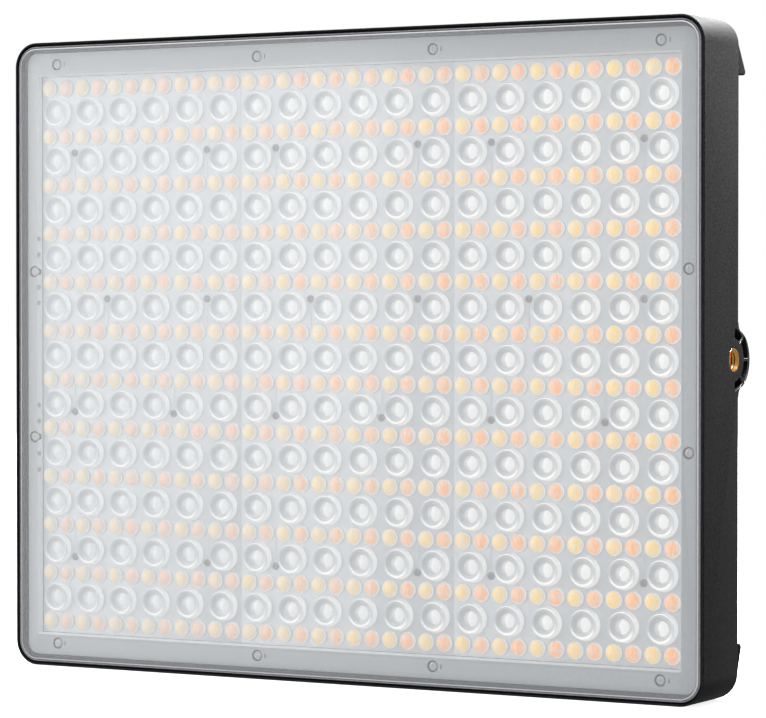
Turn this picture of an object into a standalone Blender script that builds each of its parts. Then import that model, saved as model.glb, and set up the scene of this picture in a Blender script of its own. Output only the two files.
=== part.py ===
"""Flat LED panel light for photo and video work.

A shallow black housing holds, from the front: a clear cover, a retaining frame, three moulded lens
plates, the LED board, a thermal pad and a finned heat sink. Behind them are the fan and the boards.
The back carries the control panel with its knobs, buttons, switch and sockets, and two battery plates.

Places are given in panel terms: x to the right seen from the front, depth back from the front rim,
and height from the middle of the panel. The empty panel_centre carries them to the model's frame,
whose origin is in the middle of the bottom face: +X right, +Y to the back, +Z up.
"""

import math

import bmesh
import bpy
from mathutils import Matrix, Vector

MM = 0.001

# Housing
WIDTH = 312 * MM
HEIGHT = 257 * MM
SHELL_DEPTH = 31.5 * MM
CORNER_RADIUS = 10 * MM
BACK_WALL = 2 * MM
GAP = 0.3 * MM

# How far each outline lies inside the housing's own outline
MOUTH_INSET = 0.8 * MM
GASKET_INSET = 1.6 * MM
GASKET_INNER_INSET = 2.05 * MM
COVER_INSET = 2.35 * MM
WALL = 3.4 * MM
FRAME_INSET = 4.3 * MM

# Depths of the layers, each (front, back), counted from the front rim
COVER = (0, 2.2 * MM)
GASKET = (0.3 * MM, 3.0 * MM)
LEDGE = 3.3 * MM
FRAME = (2.5 * MM, 5.3 * MM)
LENS_TOP = 2.7 * MM
LENS_PLATE = (5.6 * MM, 7.1 * MM)
LED_BOARD = (7.4 * MM, 9.0 * MM)
THERMAL_PAD = (9.2 * MM, 9.7 * MM)
HEAT_SINK = (9.9 * MM, 11.9 * MM)
FIN_BACK = 17.9 * MM

# Light field
LENS_PITCH_X = 16.15 * MM
LENS_PITCH_Z = 20 * MM
LENS_COLUMNS = 6
LENS_ROWS = 11
PLATE_COUNT = 3
FIELD_WIDTH = LENS_PITCH_X * LENS_COLUMNS * PLATE_COUNT
FIELD_HEIGHT = 230 * MM
LENS_BASE_RADIUS = 6.4 * MM
LENS_TOP_RADIUS = 5.6 * MM

# Frame screws, (x, height) of the first quadrant
FRAME_SCREWS = ((137 * MM, 119.4 * MM), (40 * MM, 119.4 * MM), (148.5 * MM, 34.2 * MM))
POST_RADIUS = 3.2 * MM
SCREW_HEAD_RADIUS = 2.2 * MM
SCREW_SHANK_RADIUS = 1.1 * MM

# Side mounts. The boss's round end lies further back than the threaded insert's axis.
MOUNT_DEPTH = 27.3 * MM
MOUNT_FRONT = 21 * MM
MOUNT_LENGTH = 12 * MM
BOSS_DEPTH = 31.2 * MM
BOSS_RADIUS = 11.1 * MM
BOSS_FILLET = 2.5 * MM
INSERT_RADIUS = 4.5 * MM
INSERT_BORE = 3.1 * MM
INSERT_LENGTH = 9.5 * MM
INSERT_CHAMFER = 1.0 * MM
POCKET_RIB = 1.1 * MM
POCKET_DEPTH = 3 * MM

# Locking pockets, each (middle angle, inner radius, outer radius) about the insert's axis
POCKETS = (
    (-67.5, 8.2 * MM, 11.8 * MM),
    (-22.5, 9.0 * MM, 13.2 * MM),
    (22.5, 9.0 * MM, 13.2 * MM),
    (67.5, 8.2 * MM, 11.8 * MM),
)

# Wedge feet
FOOT_WIDTH = 30 * MM
FOOT_TOP = 119.5 * MM
FOOT_LENGTH = 12 * MM
FOOT_NOSE = 1.5 * MM
FOOT_FROM_SIDE = 0.4 * MM
FOOT_REACH = {"top": 7.0 * MM, "bottom": 4.0 * MM}

# Slots in the back
FAN_SLOT_PITCH = 4.4 * MM
VENT_PITCH = 5.2 * MM
SLOT_WIDTH = 2.4 * MM
FAN_SLOT_REACH = 23 * MM
VENT_LENGTH = 26 * MM
VENT_HEIGHT = 84 * MM

# Control panel
CONTROL_SIZE = (100 * MM, 132 * MM)
CONTROL_HEIGHT = -10 * MM
CONTROL_BACK = 37.5 * MM
CONTROL_WALL = 2 * MM
OPENING_SIZE = (90 * MM, 122 * MM)
CONTROL_BOARD = (28.5 * MM, 30.1 * MM)
CONTROL_BOARD_SIZE = (84 * MM, 88 * MM)
CONTROL_BOARD_HEIGHT = 4 * MM
DISPLAY_SIZE = (44 * MM, 28 * MM)
DISPLAY_HEIGHT = 32 * MM
WINDOW_BORDER = 3 * MM
WINDOW_THICKNESS = 0.9 * MM
KNOB_X = 33 * MM
KNOB_HEIGHT = -8 * MM
KNOB_RADIUS = 9.5 * MM
KNOB_FRONT = 38.4 * MM
KNOB_BACK = 44.5 * MM
KNOB_EDGE = 0.8 * MM
KNOB_TOP = 1.1 * MM
SHAFT_RADIUS = 3 * MM
ENCODER_SIZE = (12 * MM, 12 * MM)
BUTTON_SIZE = (11 * MM, 7 * MM)
BUTTON_X = 9.5 * MM
BUTTON_HEIGHTS = (-1.5 * MM, -14.5 * MM)
BUTTON_BACK = 38.5 * MM
BUTTON_FLANGE = 0.8 * MM
KEY_SWITCH_SIZE = (6 * MM, 6 * MM)
KEY_SWITCH_BACK = 32.9 * MM
SOCKET_HEIGHT = -54 * MM
SOCKET_FRONT = 25.5 * MM
SWITCH_X = -28 * MM
SWITCH_SIZE = (13 * MM, 19 * MM)
SWITCH_RIM = 1.4 * MM
SWITCH_WELL_FRONT = 29.5 * MM
SWITCH_TILT = 7
SWITCH_PIVOT = 36.5 * MM
INLET_X = 7 * MM
INLET_SIZE = (14 * MM, 12 * MM)
INLET_BORE = 2.9 * MM
INLET_PIN = 1.05 * MM
USB_X = 31 * MM
USB_SIZE = (9.2 * MM, 3.4 * MM)

# Fan
FAN_HEIGHT = 88 * MM
FAN_SIZE = (50 * MM, 50 * MM)
FAN = (20.5 * MM, 28.5 * MM)
FAN_BORE = 23.2 * MM
FAN_ARM = 1.2 * MM
HUB_RADIUS = 10.5 * MM
BLADE_COUNT = 7

# Battery plates
BATTERY_X = 98 * MM
BATTERY_PLATE = (31.8 * MM, 37.8 * MM)
BATTERY_PLATE_SIZE = (48 * MM, 96 * MM)
BATTERY_WIDTH = 38.8 * MM
RAIL_BACK = 42.8 * MM
STOP_TOP = -30 * MM
CONTACT_SIZE = (24 * MM, 8 * MM)
CONTACT_HEIGHT = -20 * MM
CONTACT_FRONT = 35.5 * MM
LATCH_POCKET = (-46.4 * MM, -32.4 * MM)
LATCH = (-40.2 * MM, -32.7 * MM)
LATCH_WIDTH = 16 * MM

TO_SIDE = (math.pi / 2, 0, math.pi / 2)  # a flat outline's x, y and thickness become depth, height and x
TURN_TO = {
    "X": Matrix.Rotation(math.pi / 2, 4, "Y"),
    "Y": Matrix.Rotation(-math.pi / 2, 4, "X"),
}


# Scene, materials and objects


def clear_scene():
    for item in list(bpy.data.objects):
        bpy.data.objects.remove(item)


def new_collection(name):
    collection = bpy.data.collections.new(name)
    bpy.context.scene.collection.children.link(collection)
    return collection


def material(name, colour, roughness, metallic=0.0, alpha=1.0):
    made = bpy.data.materials.new(name)
    made.use_nodes = True
    shader = made.node_tree.nodes["Principled BSDF"]
    shader.inputs["Base Color"].default_value = (*colour, 1)
    shader.inputs["Roughness"].default_value = roughness
    shader.inputs["Metallic"].default_value = metallic
    shader.inputs["Alpha"].default_value = alpha
    made.diffuse_color = (*colour, alpha)
    return made


def mesh_of(body, name):
    """The bmesh as a mesh with smooth round faces and sharp edges over 35 degrees."""
    mesh = bpy.data.meshes.new(name)
    bmesh.ops.recalc_face_normals(body, faces=body.faces)
    body.to_mesh(mesh)
    body.free()
    mesh.shade_smooth()
    mesh.set_sharp_from_angle(angle=math.radians(35))
    return mesh


def place(item, collection, location, rotation):
    collection.objects.link(item)
    item.parent = centre
    item.location = location
    item.rotation_euler = rotation
    return item


def part(name, body, finish, location=(0, 0, 0), rotation=(0, 0, 0)):
    """A named piece from a bmesh, or from a mesh that it shares with another piece."""
    mesh = body if isinstance(body, bpy.types.Mesh) else mesh_of(body, name)
    if not mesh.materials:
        mesh.materials.append(finish)
    return place(bpy.data.objects.new(name, mesh), parts, location, rotation)


def helper(name, body, location=(0, 0, 0), rotation=(0, 0, 0)):
    """A shape that a Boolean adds or removes, and that isn't a piece itself."""
    item = place(bpy.data.objects.new(name, mesh_of(body, name)), cutters, location, rotation)
    item.hide_render = True
    item.display_type = "WIRE"
    return item


def boolean(target, operation, other):
    modifier = target.modifiers.new(other.name, "BOOLEAN")
    modifier.operation = operation
    modifier.object = other


def cut(target, name, body, location=(0, 0, 0), rotation=(0, 0, 0)):
    boolean(target, "DIFFERENCE", helper(name, body, location, rotation))


def join(target, name, body, location=(0, 0, 0), rotation=(0, 0, 0)):
    boolean(target, "UNION", helper(name, body, location, rotation))


# Shapes


def add_box(body, size, middle, turn=None):
    matrix = Matrix.Translation(middle) @ (turn or Matrix.Identity(4)) @ Matrix.Diagonal((*size, 1))
    return bmesh.ops.create_cube(body, size=1, matrix=matrix)["verts"]


def add_slab(body, size, layer, x=0, height=0):
    """A box of that width and height that fills a layer, (front, back)."""
    front, back = layer
    return add_box(body, (size[0], back - front, size[1]), (x, (front + back) / 2, height))


def add_rounded(body, size, layer, radius, x=0, height=0, segments=4):
    """A slab whose four corners are rounded."""
    corners = add_slab(body, size, layer, x, height)
    edges = {edge for corner in corners for edge in corner.link_edges}
    along = [e for e in edges if abs(e.verts[0].co.y - e.verts[1].co.y) > MM / 100]
    bmesh.ops.bevel(body, geom=along, offset=radius, segments=segments, profile=0.5, affect="EDGES")


def add_round(body, radius, length, middle, axis="Y", segments=24, end_radius=None):
    """A cylinder, or a cone whose end_radius is at the axis's positive end."""
    bmesh.ops.create_cone(
        body,
        cap_ends=True,
        segments=segments,
        radius1=radius,
        radius2=radius if end_radius is None else end_radius,
        depth=length,
        matrix=Matrix.Translation(middle) @ TURN_TO[axis],
    )


def slab(size, layer, x=0, height=0):
    body = bmesh.new()
    add_slab(body, size, layer, x, height)
    return body


def rounded(size, layer, radius, x=0, height=0, segments=4):
    body = bmesh.new()
    add_rounded(body, size, layer, radius, x, height, segments)
    return body


def round_of(radius, layer, x=0, height=0, segments=24):
    """A cylinder along the depth that fills a layer."""
    body = bmesh.new()
    front, back = layer
    add_round(body, radius, back - front, (x, (front + back) / 2, height), "Y", segments)
    return body


def grown(size, extra):
    """A width and height, both larger by twice extra."""
    return (size[0] + 2 * extra, size[1] + 2 * extra)


def turned(name, profile, finish, location, axis="Y", steps=24, closed=False):
    """A turned piece. The profile is (radius, place along the axis), down its outer side."""
    body = bmesh.new()
    points = [body.verts.new((radius, 0, along)) for radius, along in profile]
    for one, other in zip(points, points[1:] + points[:1] if closed else points[1:]):
        body.edges.new((one, other))
    mesh = bpy.data.meshes.new(name)
    body.to_mesh(mesh)
    body.free()
    mesh.materials.append(finish)
    item = place(bpy.data.objects.new(name, mesh), parts, location, TURN_TO[axis].to_euler())
    screw = item.modifiers.new("Turn", "SCREW")
    screw.steps = steps
    screw.render_steps = steps
    screw.use_merge_vertices = True
    screw.merge_threshold = MM / 100
    screw.use_smooth_shade = True
    return item


def arc(middle, radius, start, end, steps):
    """Points on an arc, with the angles in degrees from the first axis."""
    angles = [math.radians(start + (end - start) * step / steps) for step in range(steps + 1)]
    return [(middle[0] + radius * math.cos(a), middle[1] + radius * math.sin(a)) for a in angles]


def outline_body(points, thickness):
    """A flat outline, as a filled 2D curve, given a thickness and turned into a closed bmesh."""
    curve = bpy.data.curves.new("outline", "CURVE")
    curve.dimensions = "2D"
    curve.fill_mode = "BOTH"
    curve.extrude = thickness / 2
    spline = curve.splines.new("POLY")
    spline.points.add(len(points) - 1)
    for point, (across, up) in zip(spline.points, points):
        point.co = (across, up, 0, 1)
    spline.use_cyclic_u = True
    item = bpy.data.objects.new("outline", curve)
    bpy.context.scene.collection.objects.link(item)
    graph = bpy.context.evaluated_depsgraph_get()
    mesh = bpy.data.meshes.new_from_object(item.evaluated_get(graph))
    body = bmesh.new()
    body.from_mesh(mesh)
    bmesh.ops.remove_doubles(body, verts=body.verts, dist=MM / 1000)
    bpy.data.objects.remove(item)
    return body


def wire(name, points, radius, finish, location=(0, 0, 0), sides=1):
    """A wire through the points: a POLY curve with a round bevel and filled caps."""
    curve = bpy.data.curves.new(name, "CURVE")
    curve.dimensions = "3D"
    curve.bevel_depth = radius
    curve.bevel_resolution = sides
    curve.use_fill_caps = True
    spline = curve.splines.new("POLY")
    spline.points.add(len(points) - 1)
    for point, place_at in zip(spline.points, points):
        point.co = (*place_at, 1)
    curve.materials.append(finish)
    return place(bpy.data.objects.new(name, curve), parts, location, (0, 0, 0))


def smooth_route(points, steps):
    """Points on a Catmull-Rom curve through a route's own points."""
    ends = [points[0], *points, points[-1]]
    route = []
    for before, start, end, after in zip(ends, ends[1:], ends[2:], ends[3:]):
        for step in range(steps):
            t = step / steps
            weights = (
                (-t + 2 * t**2 - t**3) / 2,
                (2 - 5 * t**2 + 3 * t**3) / 2,
                (t + 4 * t**2 - 3 * t**3) / 2,
                (-(t**2) + t**3) / 2,
            )
            near = (before, start, end, after)
            route.append(tuple(sum(w * p[k] for w, p in zip(weights, near)) for k in range(3)))
    return [*route, points[-1]]


def screw_places():
    """The twelve frame screws: each place of the first quadrant in all four quadrants."""
    return [(sx * x, sz * z) for x, z in FRAME_SCREWS for sz in (1, -1) for sx in (-1, 1)]


# Housing


def side_mount_height():
    """Half the height of a side mount where its fillets meet the housing's back."""
    depth = SHELL_DEPTH + BOSS_FILLET - BOSS_DEPTH
    return math.sqrt((BOSS_RADIUS + BOSS_FILLET) ** 2 - depth**2)


def side_mount_body():
    """A block within the housing, and a round boss with small fillets behind its back."""
    depth, height = SHELL_DEPTH + BOSS_FILLET, side_mount_height()
    meet = math.degrees(math.atan2(height, depth - BOSS_DEPTH))
    upper_fillet = arc((depth, height), BOSS_FILLET, 180, 180 + meet, 3)
    lower_fillet = arc((depth, -height), BOSS_FILLET, 180 - meet, 180, 3)
    disc = arc((BOSS_DEPTH, 0), BOSS_RADIUS, meet, -meet, 14)
    top, bottom = (MOUNT_FRONT, height), (MOUNT_FRONT, -height)
    return outline_body([top, *upper_fillet, *disc[1:-1], *lower_fillet, bottom], MOUNT_LENGTH)


def pocket_body(middle_angle, inner, outer):
    """One locking pocket: part of a ring between two radial ribs of constant width."""
    points = []
    for radius, way in ((inner, 1), (outer, -1)):
        half = 22.5 - math.degrees(math.asin(POCKET_RIB / 2 / radius))
        points += arc((0, 0), radius, middle_angle - way * half, middle_angle + way * half, 4)
    return outline_body(points, 2 * POCKET_DEPTH)


def make_side_mounts(shell):
    """Blocks flush with the side walls, each with a threaded insert's bore and four locking pockets."""
    for side, label in ((-1, "left"), (1, "right")):
        middle = (side * (WIDTH - MOUNT_LENGTH) / 2, 0, 0)
        mount = part(f"side_mount_{label}", side_mount_body(), black_plastic, middle, TO_SIDE)
        face_middle = (side * WIDTH / 2, MOUNT_DEPTH, 0)
        bore = bmesh.new()
        add_round(bore, INSERT_RADIUS + GAP, 3 * MOUNT_LENGTH, face_middle, "X")
        cut(mount, f"mount_bore_{label}", bore)
        for angle, inner, outer in POCKETS:
            pocket = pocket_body(angle, inner, outer)
            cut(mount, f"mount_pocket_{label}_{angle}", pocket, face_middle, TO_SIDE)
        notch_layer = (MOUNT_FRONT - GAP, SHELL_DEPTH + MOUNT_LENGTH)
        notch = (2 * (MOUNT_LENGTH + GAP), 2 * (side_mount_height() + GAP))
        cut(shell, f"mount_notch_{label}", slab(notch, notch_layer, side * WIDTH / 2))


def vent_slots():
    """Round fan grille in the middle, and four groups of upright slots above and below the plates."""
    slots = bmesh.new()
    layer = (SHELL_DEPTH - 2 * BACK_WALL, SHELL_DEPTH + BACK_WALL)
    for index in range(-5, 6):
        x = index * FAN_SLOT_PITCH
        chord = 2 * math.sqrt(FAN_SLOT_REACH**2 - x**2)
        add_slab(slots, (SLOT_WIDTH, chord), layer, x, FAN_HEIGHT)
    for side in (-1, 1):
        for level in (-1, 1):
            for index in range(-4, 5):
                x = side * BATTERY_X + index * VENT_PITCH
                add_slab(slots, (SLOT_WIDTH, VENT_LENGTH), layer, x, level * VENT_HEIGHT)
    return slots


def make_shell():
    front_to_back = (0, SHELL_DEPTH)
    body = rounded((WIDTH, HEIGHT), front_to_back, CORNER_RADIUS, segments=6)
    rear = [e for e in body.edges if all(v.co.y > SHELL_DEPTH - MM / 10 for v in e.verts)]
    bmesh.ops.bevel(body, geom=rear, offset=0.8 * MM, segments=2, profile=0.5, affect="EDGES")
    shell = part("rear_shell", body, black_plastic)
    inside = grown((WIDTH, HEIGHT), -WALL)
    cavity = (-5 * MM, SHELL_DEPTH - BACK_WALL)
    cut(shell, "cavity", rounded(inside, cavity, CORNER_RADIUS - WALL, segments=6))
    posts, holes = bmesh.new(), bmesh.new()
    for x, z in screw_places():
        front, back = FRAME[1] + GAP, SHELL_DEPTH - BACK_WALL / 2
        add_round(posts, POST_RADIUS, back - front, (x, (front + back) / 2, z), segments=12)
        add_round(holes, SCREW_SHANK_RADIUS + GAP / 2, 16 * MM, (x, 10 * MM, z), segments=8)
    join(shell, "screw_posts", posts)
    cut(shell, "screw_post_holes", holes)
    make_side_mounts(shell)
    window = (SHELL_DEPTH - 2 * BACK_WALL, SHELL_DEPTH + BACK_WALL)
    cut(shell, "control_window", rounded(OPENING_SIZE, window, 4 * MM, 0, CONTROL_HEIGHT, 2))
    cut(shell, "vents", vent_slots())
    pocket = grown((WIDTH, HEIGHT), -MOUTH_INSET)
    mouth_radius = CORNER_RADIUS - MOUTH_INSET
    cut(shell, "cover_pocket", rounded(pocket, (-4 * MM, LEDGE), mouth_radius, segments=6))


def make_inserts():
    """Brass inserts with the bore of a quarter-inch thread and a chamfered mouth, flush with the side."""
    for side, label in ((-1, "left"), (1, "right")):
        mouth = side * INSERT_LENGTH
        profile = [
            (INSERT_RADIUS, mouth),
            (INSERT_RADIUS, 0),
            (INSERT_BORE, 0),
            (INSERT_BORE, mouth - side * INSERT_CHAMFER),
            (INSERT_BORE + INSERT_CHAMFER, mouth),
        ]
        middle = (side * (WIDTH / 2 - INSERT_LENGTH), MOUNT_DEPTH, 0)
        order = profile if side > 0 else profile[::-1]
        turned(f"threaded_insert_{label}", order, brass, middle, "X", closed=True)


def make_feet():
    """Wedge feet at the back corners. The upper pair stands out further than the lower pair."""
    low = FOOT_TOP - FOOT_LENGTH
    for where, level in (("top", 1), ("bottom", -1)):
        root, end = SHELL_DEPTH + GAP, SHELL_DEPTH + FOOT_REACH[where]
        tip = arc((end - FOOT_NOSE, low + FOOT_NOSE), FOOT_NOSE, 0, -90, 4)
        points = [(root, FOOT_TOP), *tip, (root, low)]
        points = [(depth, level * height) for depth, height in points]
        for side, label in ((-1, "left"), (1, "right")):
            body = outline_body(points if level < 0 else points[::-1], FOOT_WIDTH)
            middle = side * (WIDTH / 2 - FOOT_FROM_SIDE - FOOT_WIDTH / 2)
            part(f"corner_foot_{where}_{label}", body, rubber, (middle, 0, 0), TO_SIDE)


# Light field


def make_cover():
    size = grown((WIDTH, HEIGHT), -COVER_INSET)
    body = rounded(size, COVER, CORNER_RADIUS - COVER_INSET, segments=6)
    front = [e for e in body.edges if all(v.co.y < MM / 10 for v in e.verts)]
    bmesh.ops.bevel(body, geom=front, offset=0.6 * MM, segments=2, profile=0.5, affect="EDGES")
    part("front_cover", body, clear_plastic)
    outer = grown((WIDTH, HEIGHT), -GASKET_INSET)
    outer_radius = CORNER_RADIUS - GASKET_INSET
    gasket = part("cover_gasket", rounded(outer, GASKET, outer_radius, segments=6), foam)
    inner = grown((WIDTH, HEIGHT), -GASKET_INNER_INSET)
    through = (GASKET[0] - MM, GASKET[1] + MM)
    radius = CORNER_RADIUS - GASKET_INNER_INSET
    cut(gasket, "gasket_window", rounded(inner, through, radius, segments=6))


def make_frame():
    size = grown((WIDTH, HEIGHT), -FRAME_INSET)
    frame = part("retaining_frame", rounded(size, FRAME, 4.6 * MM, segments=4), white_plastic)
    window = grown((FIELD_WIDTH, FIELD_HEIGHT), GAP)
    cut(frame, "frame_window", slab(window, (FRAME[0] - MM, FRAME[1] + MM)))
    heads, shanks = bmesh.new(), bmesh.new()
    for x, z in screw_places():
        add_round(heads, SCREW_HEAD_RADIUS + GAP, 3.4 * MM, (x, FRAME[0], z), segments=12)
        add_round(shanks, SCREW_SHANK_RADIUS + GAP / 2, 12 * MM, (x, FRAME[0], z), segments=8)
    cut(frame, "frame_head_pockets", heads)
    cut(frame, "frame_shank_holes", shanks)


def make_screws():
    head, length, front = 1.3 * MM, 12 * MM, FRAME[0] + 0.1 * MM
    for index, (x, z) in enumerate(screw_places(), 1):
        profile = [
            (0, length),
            (SCREW_SHANK_RADIUS, length),
            (SCREW_SHANK_RADIUS, head),
            (SCREW_HEAD_RADIUS, head),
            (SCREW_HEAD_RADIUS, 0),
            (0, 0),
        ]
        turned(f"frame_screw_{index:02d}", profile, steel, (x, front, z), steps=10)


def make_lens_plates():
    """Each plate carries six columns and eleven rows of round lenses."""
    size = (LENS_PITCH_X * LENS_COLUMNS - GAP, FIELD_HEIGHT - GAP)
    for index, label in enumerate(("left", "centre", "right")):
        x = (index - (PLATE_COUNT - 1) / 2) * LENS_PITCH_X * LENS_COLUMNS
        plate = part(f"lens_plate_{label}", slab(size, LENS_PLATE), clear_plastic, (x, 0, 0))
        lenses = bmesh.new()
        back = LENS_PLATE[0] + GAP
        for column in range(LENS_COLUMNS):
            for row in range(LENS_ROWS):
                across = (column - (LENS_COLUMNS - 1) / 2) * LENS_PITCH_X
                up = (row - (LENS_ROWS - 1) / 2) * LENS_PITCH_Z
                middle = (across, (LENS_TOP + back) / 2, up)
                add_round(lenses, LENS_TOP_RADIUS, back - LENS_TOP, middle, "Y", 6, LENS_BASE_RADIUS)
        join(plate, f"lenses_{label}", lenses, (x, 0, 0))


def make_boards_and_sink():
    size = grown((FIELD_WIDTH, FIELD_HEIGHT), -GAP)
    part("led_board", slab(size, LED_BOARD), white_board)
    part("thermal_pad", slab(grown(size, -MM), THERMAL_PAD), grey_pad)
    sink = part("heat_sink", slab(size, HEAT_SINK), aluminium)
    fins = bmesh.new()
    pitch, thick = 17 * MM, 1.6 * MM
    for index in range(-8, 9):
        layer = (HEAT_SINK[1] - MM, FIN_BACK)
        add_slab(fins, (thick, size[1] - 6 * MM), layer, index * pitch)
    join(sink, "fins", fins)


# Inside the housing


def make_driver_board():
    board = (20.2 * MM, 21.8 * MM)
    height = -97 * MM
    driver = part("driver_board", slab((150 * MM, 32 * MM), board, 0, height), green_board)
    items = bmesh.new()
    for x in (-58 * MM, -42 * MM, 44 * MM, 60 * MM):
        add_round(items, 5.5 * MM, 5.4 * MM, (x, board[1] + 2.4 * MM, height), segments=12)
    for x, wide in ((-20 * MM, 18 * MM), (4 * MM, 14 * MM), (24 * MM, 12 * MM)):
        add_slab(items, (wide, 16 * MM), (board[1] - 0.3 * MM, 26 * MM), x, height - 3 * MM)
    join(driver, "driver_components", items)
    route = [
        (-12 * MM, 22.4 * MM, -84.5 * MM),
        (-12 * MM, 25.0 * MM, -84.0 * MM),
        (-12 * MM, 25.6 * MM, -76 * MM),
        (-9 * MM, 24.0 * MM, -60 * MM),
        (-6 * MM, 22.8 * MM, -44 * MM),
        (-5 * MM, 23.5 * MM, -30 * MM),
        (-5 * MM, 25.8 * MM, -23 * MM),
        (-5 * MM, 27.6 * MM, -22.2 * MM),
    ]
    wire("control_lead", smooth_route(route, 3), 0.9 * MM, black_plastic, sides=2)


def make_fan():
    """A square axial fan: the housing with its three arms, and a rotor of a hub and seven blades."""
    arms_layer = (FAN[0], FAN[0] + FAN_ARM)
    housing = part("fan_housing", rounded(FAN_SIZE, FAN, 3 * MM, 0, FAN_HEIGHT, 2), black_plastic)
    through = (FAN[0] - MM, FAN[1] + MM)
    cut(housing, "fan_bore", round_of(FAN_BORE, through, 0, FAN_HEIGHT, 32))
    join(housing, "fan_seat", round_of(9 * MM, arms_layer, 0, FAN_HEIGHT, 16))
    arms = bmesh.new()
    arm_length = FAN_BORE - 7 * MM
    for index in range(3):
        around = Matrix.Rotation(index * math.tau / 3, 4, "Y")
        spot = around @ Vector((8 * MM + arm_length / 2, 0, 0))
        add_box(arms, (arm_length, 0.9 * MM, 2.4 * MM), spot, around)
    join(housing, "fan_arms", arms, (0, sum(arms_layer) / 2, FAN_HEIGHT))

    layer = (arms_layer[1] + 0.4 * MM, FAN[1] - 0.5 * MM)
    middle = (0, sum(layer) / 2, FAN_HEIGHT)
    half = (layer[1] - layer[0]) / 2
    rotor = part("fan_rotor", round_of(HUB_RADIUS, (-half, half)), black_plastic, middle)
    blades = bmesh.new()
    root, tip = HUB_RADIUS - MM, FAN_BORE - 1.2 * MM
    for index in range(BLADE_COUNT):
        around = Matrix.Rotation(index * math.tau / BLADE_COUNT, 4, "Y")
        tilt = Matrix.Rotation(math.radians(32), 4, "X")
        spot = around @ Vector(((root + tip) / 2, 0, 0))
        add_box(blades, (tip - root, 0.9 * MM, 7.0 * MM), spot, around @ tilt)
    join(rotor, "fan_blades", blades, middle)


# Control panel


def make_control_housing():
    """A tray over the opening in the back, with its holes and the recess for the display window."""
    layer = (SHELL_DEPTH + GAP, CONTROL_BACK)
    body = rounded(CONTROL_SIZE, layer, 6 * MM, 0, CONTROL_HEIGHT, 3)
    rear = [e for e in body.edges if all(v.co.y > CONTROL_BACK - MM / 10 for v in e.verts)]
    bmesh.ops.bevel(body, geom=rear, offset=1.2 * MM, segments=2, profile=0.5, affect="EDGES")
    tray = part("control_housing", body, black_plastic)
    inside = grown(CONTROL_SIZE, -CONTROL_WALL)
    hollow = (layer[0] - 2 * MM, CONTROL_BACK - CONTROL_WALL)
    cut(tray, "control_hollow", rounded(inside, hollow, 4 * MM, 0, CONTROL_HEIGHT, 2))
    through = (CONTROL_BACK - 2 * CONTROL_WALL, CONTROL_BACK + MM)
    holes = bmesh.new()
    add_slab(holes, DISPLAY_SIZE, through, 0, DISPLAY_HEIGHT)
    for side in (-1, 1):
        middle = (side * KNOB_X, sum(through) / 2, KNOB_HEIGHT)
        add_round(holes, SHAFT_RADIUS + 2 * GAP, through[1] - through[0], middle, segments=16)
        for height in BUTTON_HEIGHTS:
            hole = grown(BUTTON_SIZE, GAP)
            add_rounded(holes, hole, through, 1.5 * MM, side * BUTTON_X, height, 2)
    add_slab(holes, grown(SWITCH_SIZE, GAP), through, SWITCH_X, SOCKET_HEIGHT)
    add_slab(holes, grown(INLET_SIZE, GAP), through, INLET_X, SOCKET_HEIGHT)
    add_slab(holes, grown(USB_SIZE, GAP), through, USB_X, SOCKET_HEIGHT)
    cut(tray, "control_holes", holes)
    recess_layer = (CONTROL_BACK - WINDOW_THICKNESS - GAP, CONTROL_BACK + MM)
    recess = grown(DISPLAY_SIZE, WINDOW_BORDER)
    cut(tray, "display_recess", rounded(recess, recess_layer, 2 * MM, 0, DISPLAY_HEIGHT, 2))


def make_display():
    window = grown(DISPLAY_SIZE, WINDOW_BORDER - GAP)
    layer = (CONTROL_BACK - WINDOW_THICKNESS, CONTROL_BACK)
    part("display_window", rounded(window, layer, 1.7 * MM, 0, DISPLAY_HEIGHT, 2), smoked_plastic)
    module = (CONTROL_BOARD[1] + GAP, CONTROL_BACK - CONTROL_WALL - GAP)
    part("display_module", slab(grown(DISPLAY_SIZE, MM), module, 0, DISPLAY_HEIGHT), black_plastic)


def make_control_board():
    body = slab(CONTROL_BOARD_SIZE, CONTROL_BOARD, 0, CONTROL_BOARD_HEIGHT)
    board = part("control_board", body, green_board)
    switches = bmesh.new()
    layer = (CONTROL_BOARD[1] - GAP, KEY_SWITCH_BACK)
    for side in (-1, 1):
        for height in BUTTON_HEIGHTS:
            add_slab(switches, KEY_SWITCH_SIZE, layer, side * BUTTON_X, height)
    join(board, "button_switches", switches)


def make_buttons():
    """Four keys, each with a flange that keeps it behind the panel."""
    flange_back = CONTROL_BACK - CONTROL_WALL - GAP
    names = iter(("button_mode", "button_menu", "button_effect", "button_set"))
    for height in BUTTON_HEIGHTS:
        for side in (-1, 1):
            name = next(names)
            middle = (side * BUTTON_X, 0, height)
            cap = rounded(BUTTON_SIZE, (flange_back - MM, BUTTON_BACK), 1.2 * MM, segments=2)
            key = part(name, cap, grey_plastic, middle)
            flange_layer = (flange_back - 1.2 * MM, flange_back)
            flange = slab(grown(BUTTON_SIZE, BUTTON_FLANGE), flange_layer)
            join(key, f"{name}_flange", flange, middle)


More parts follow.
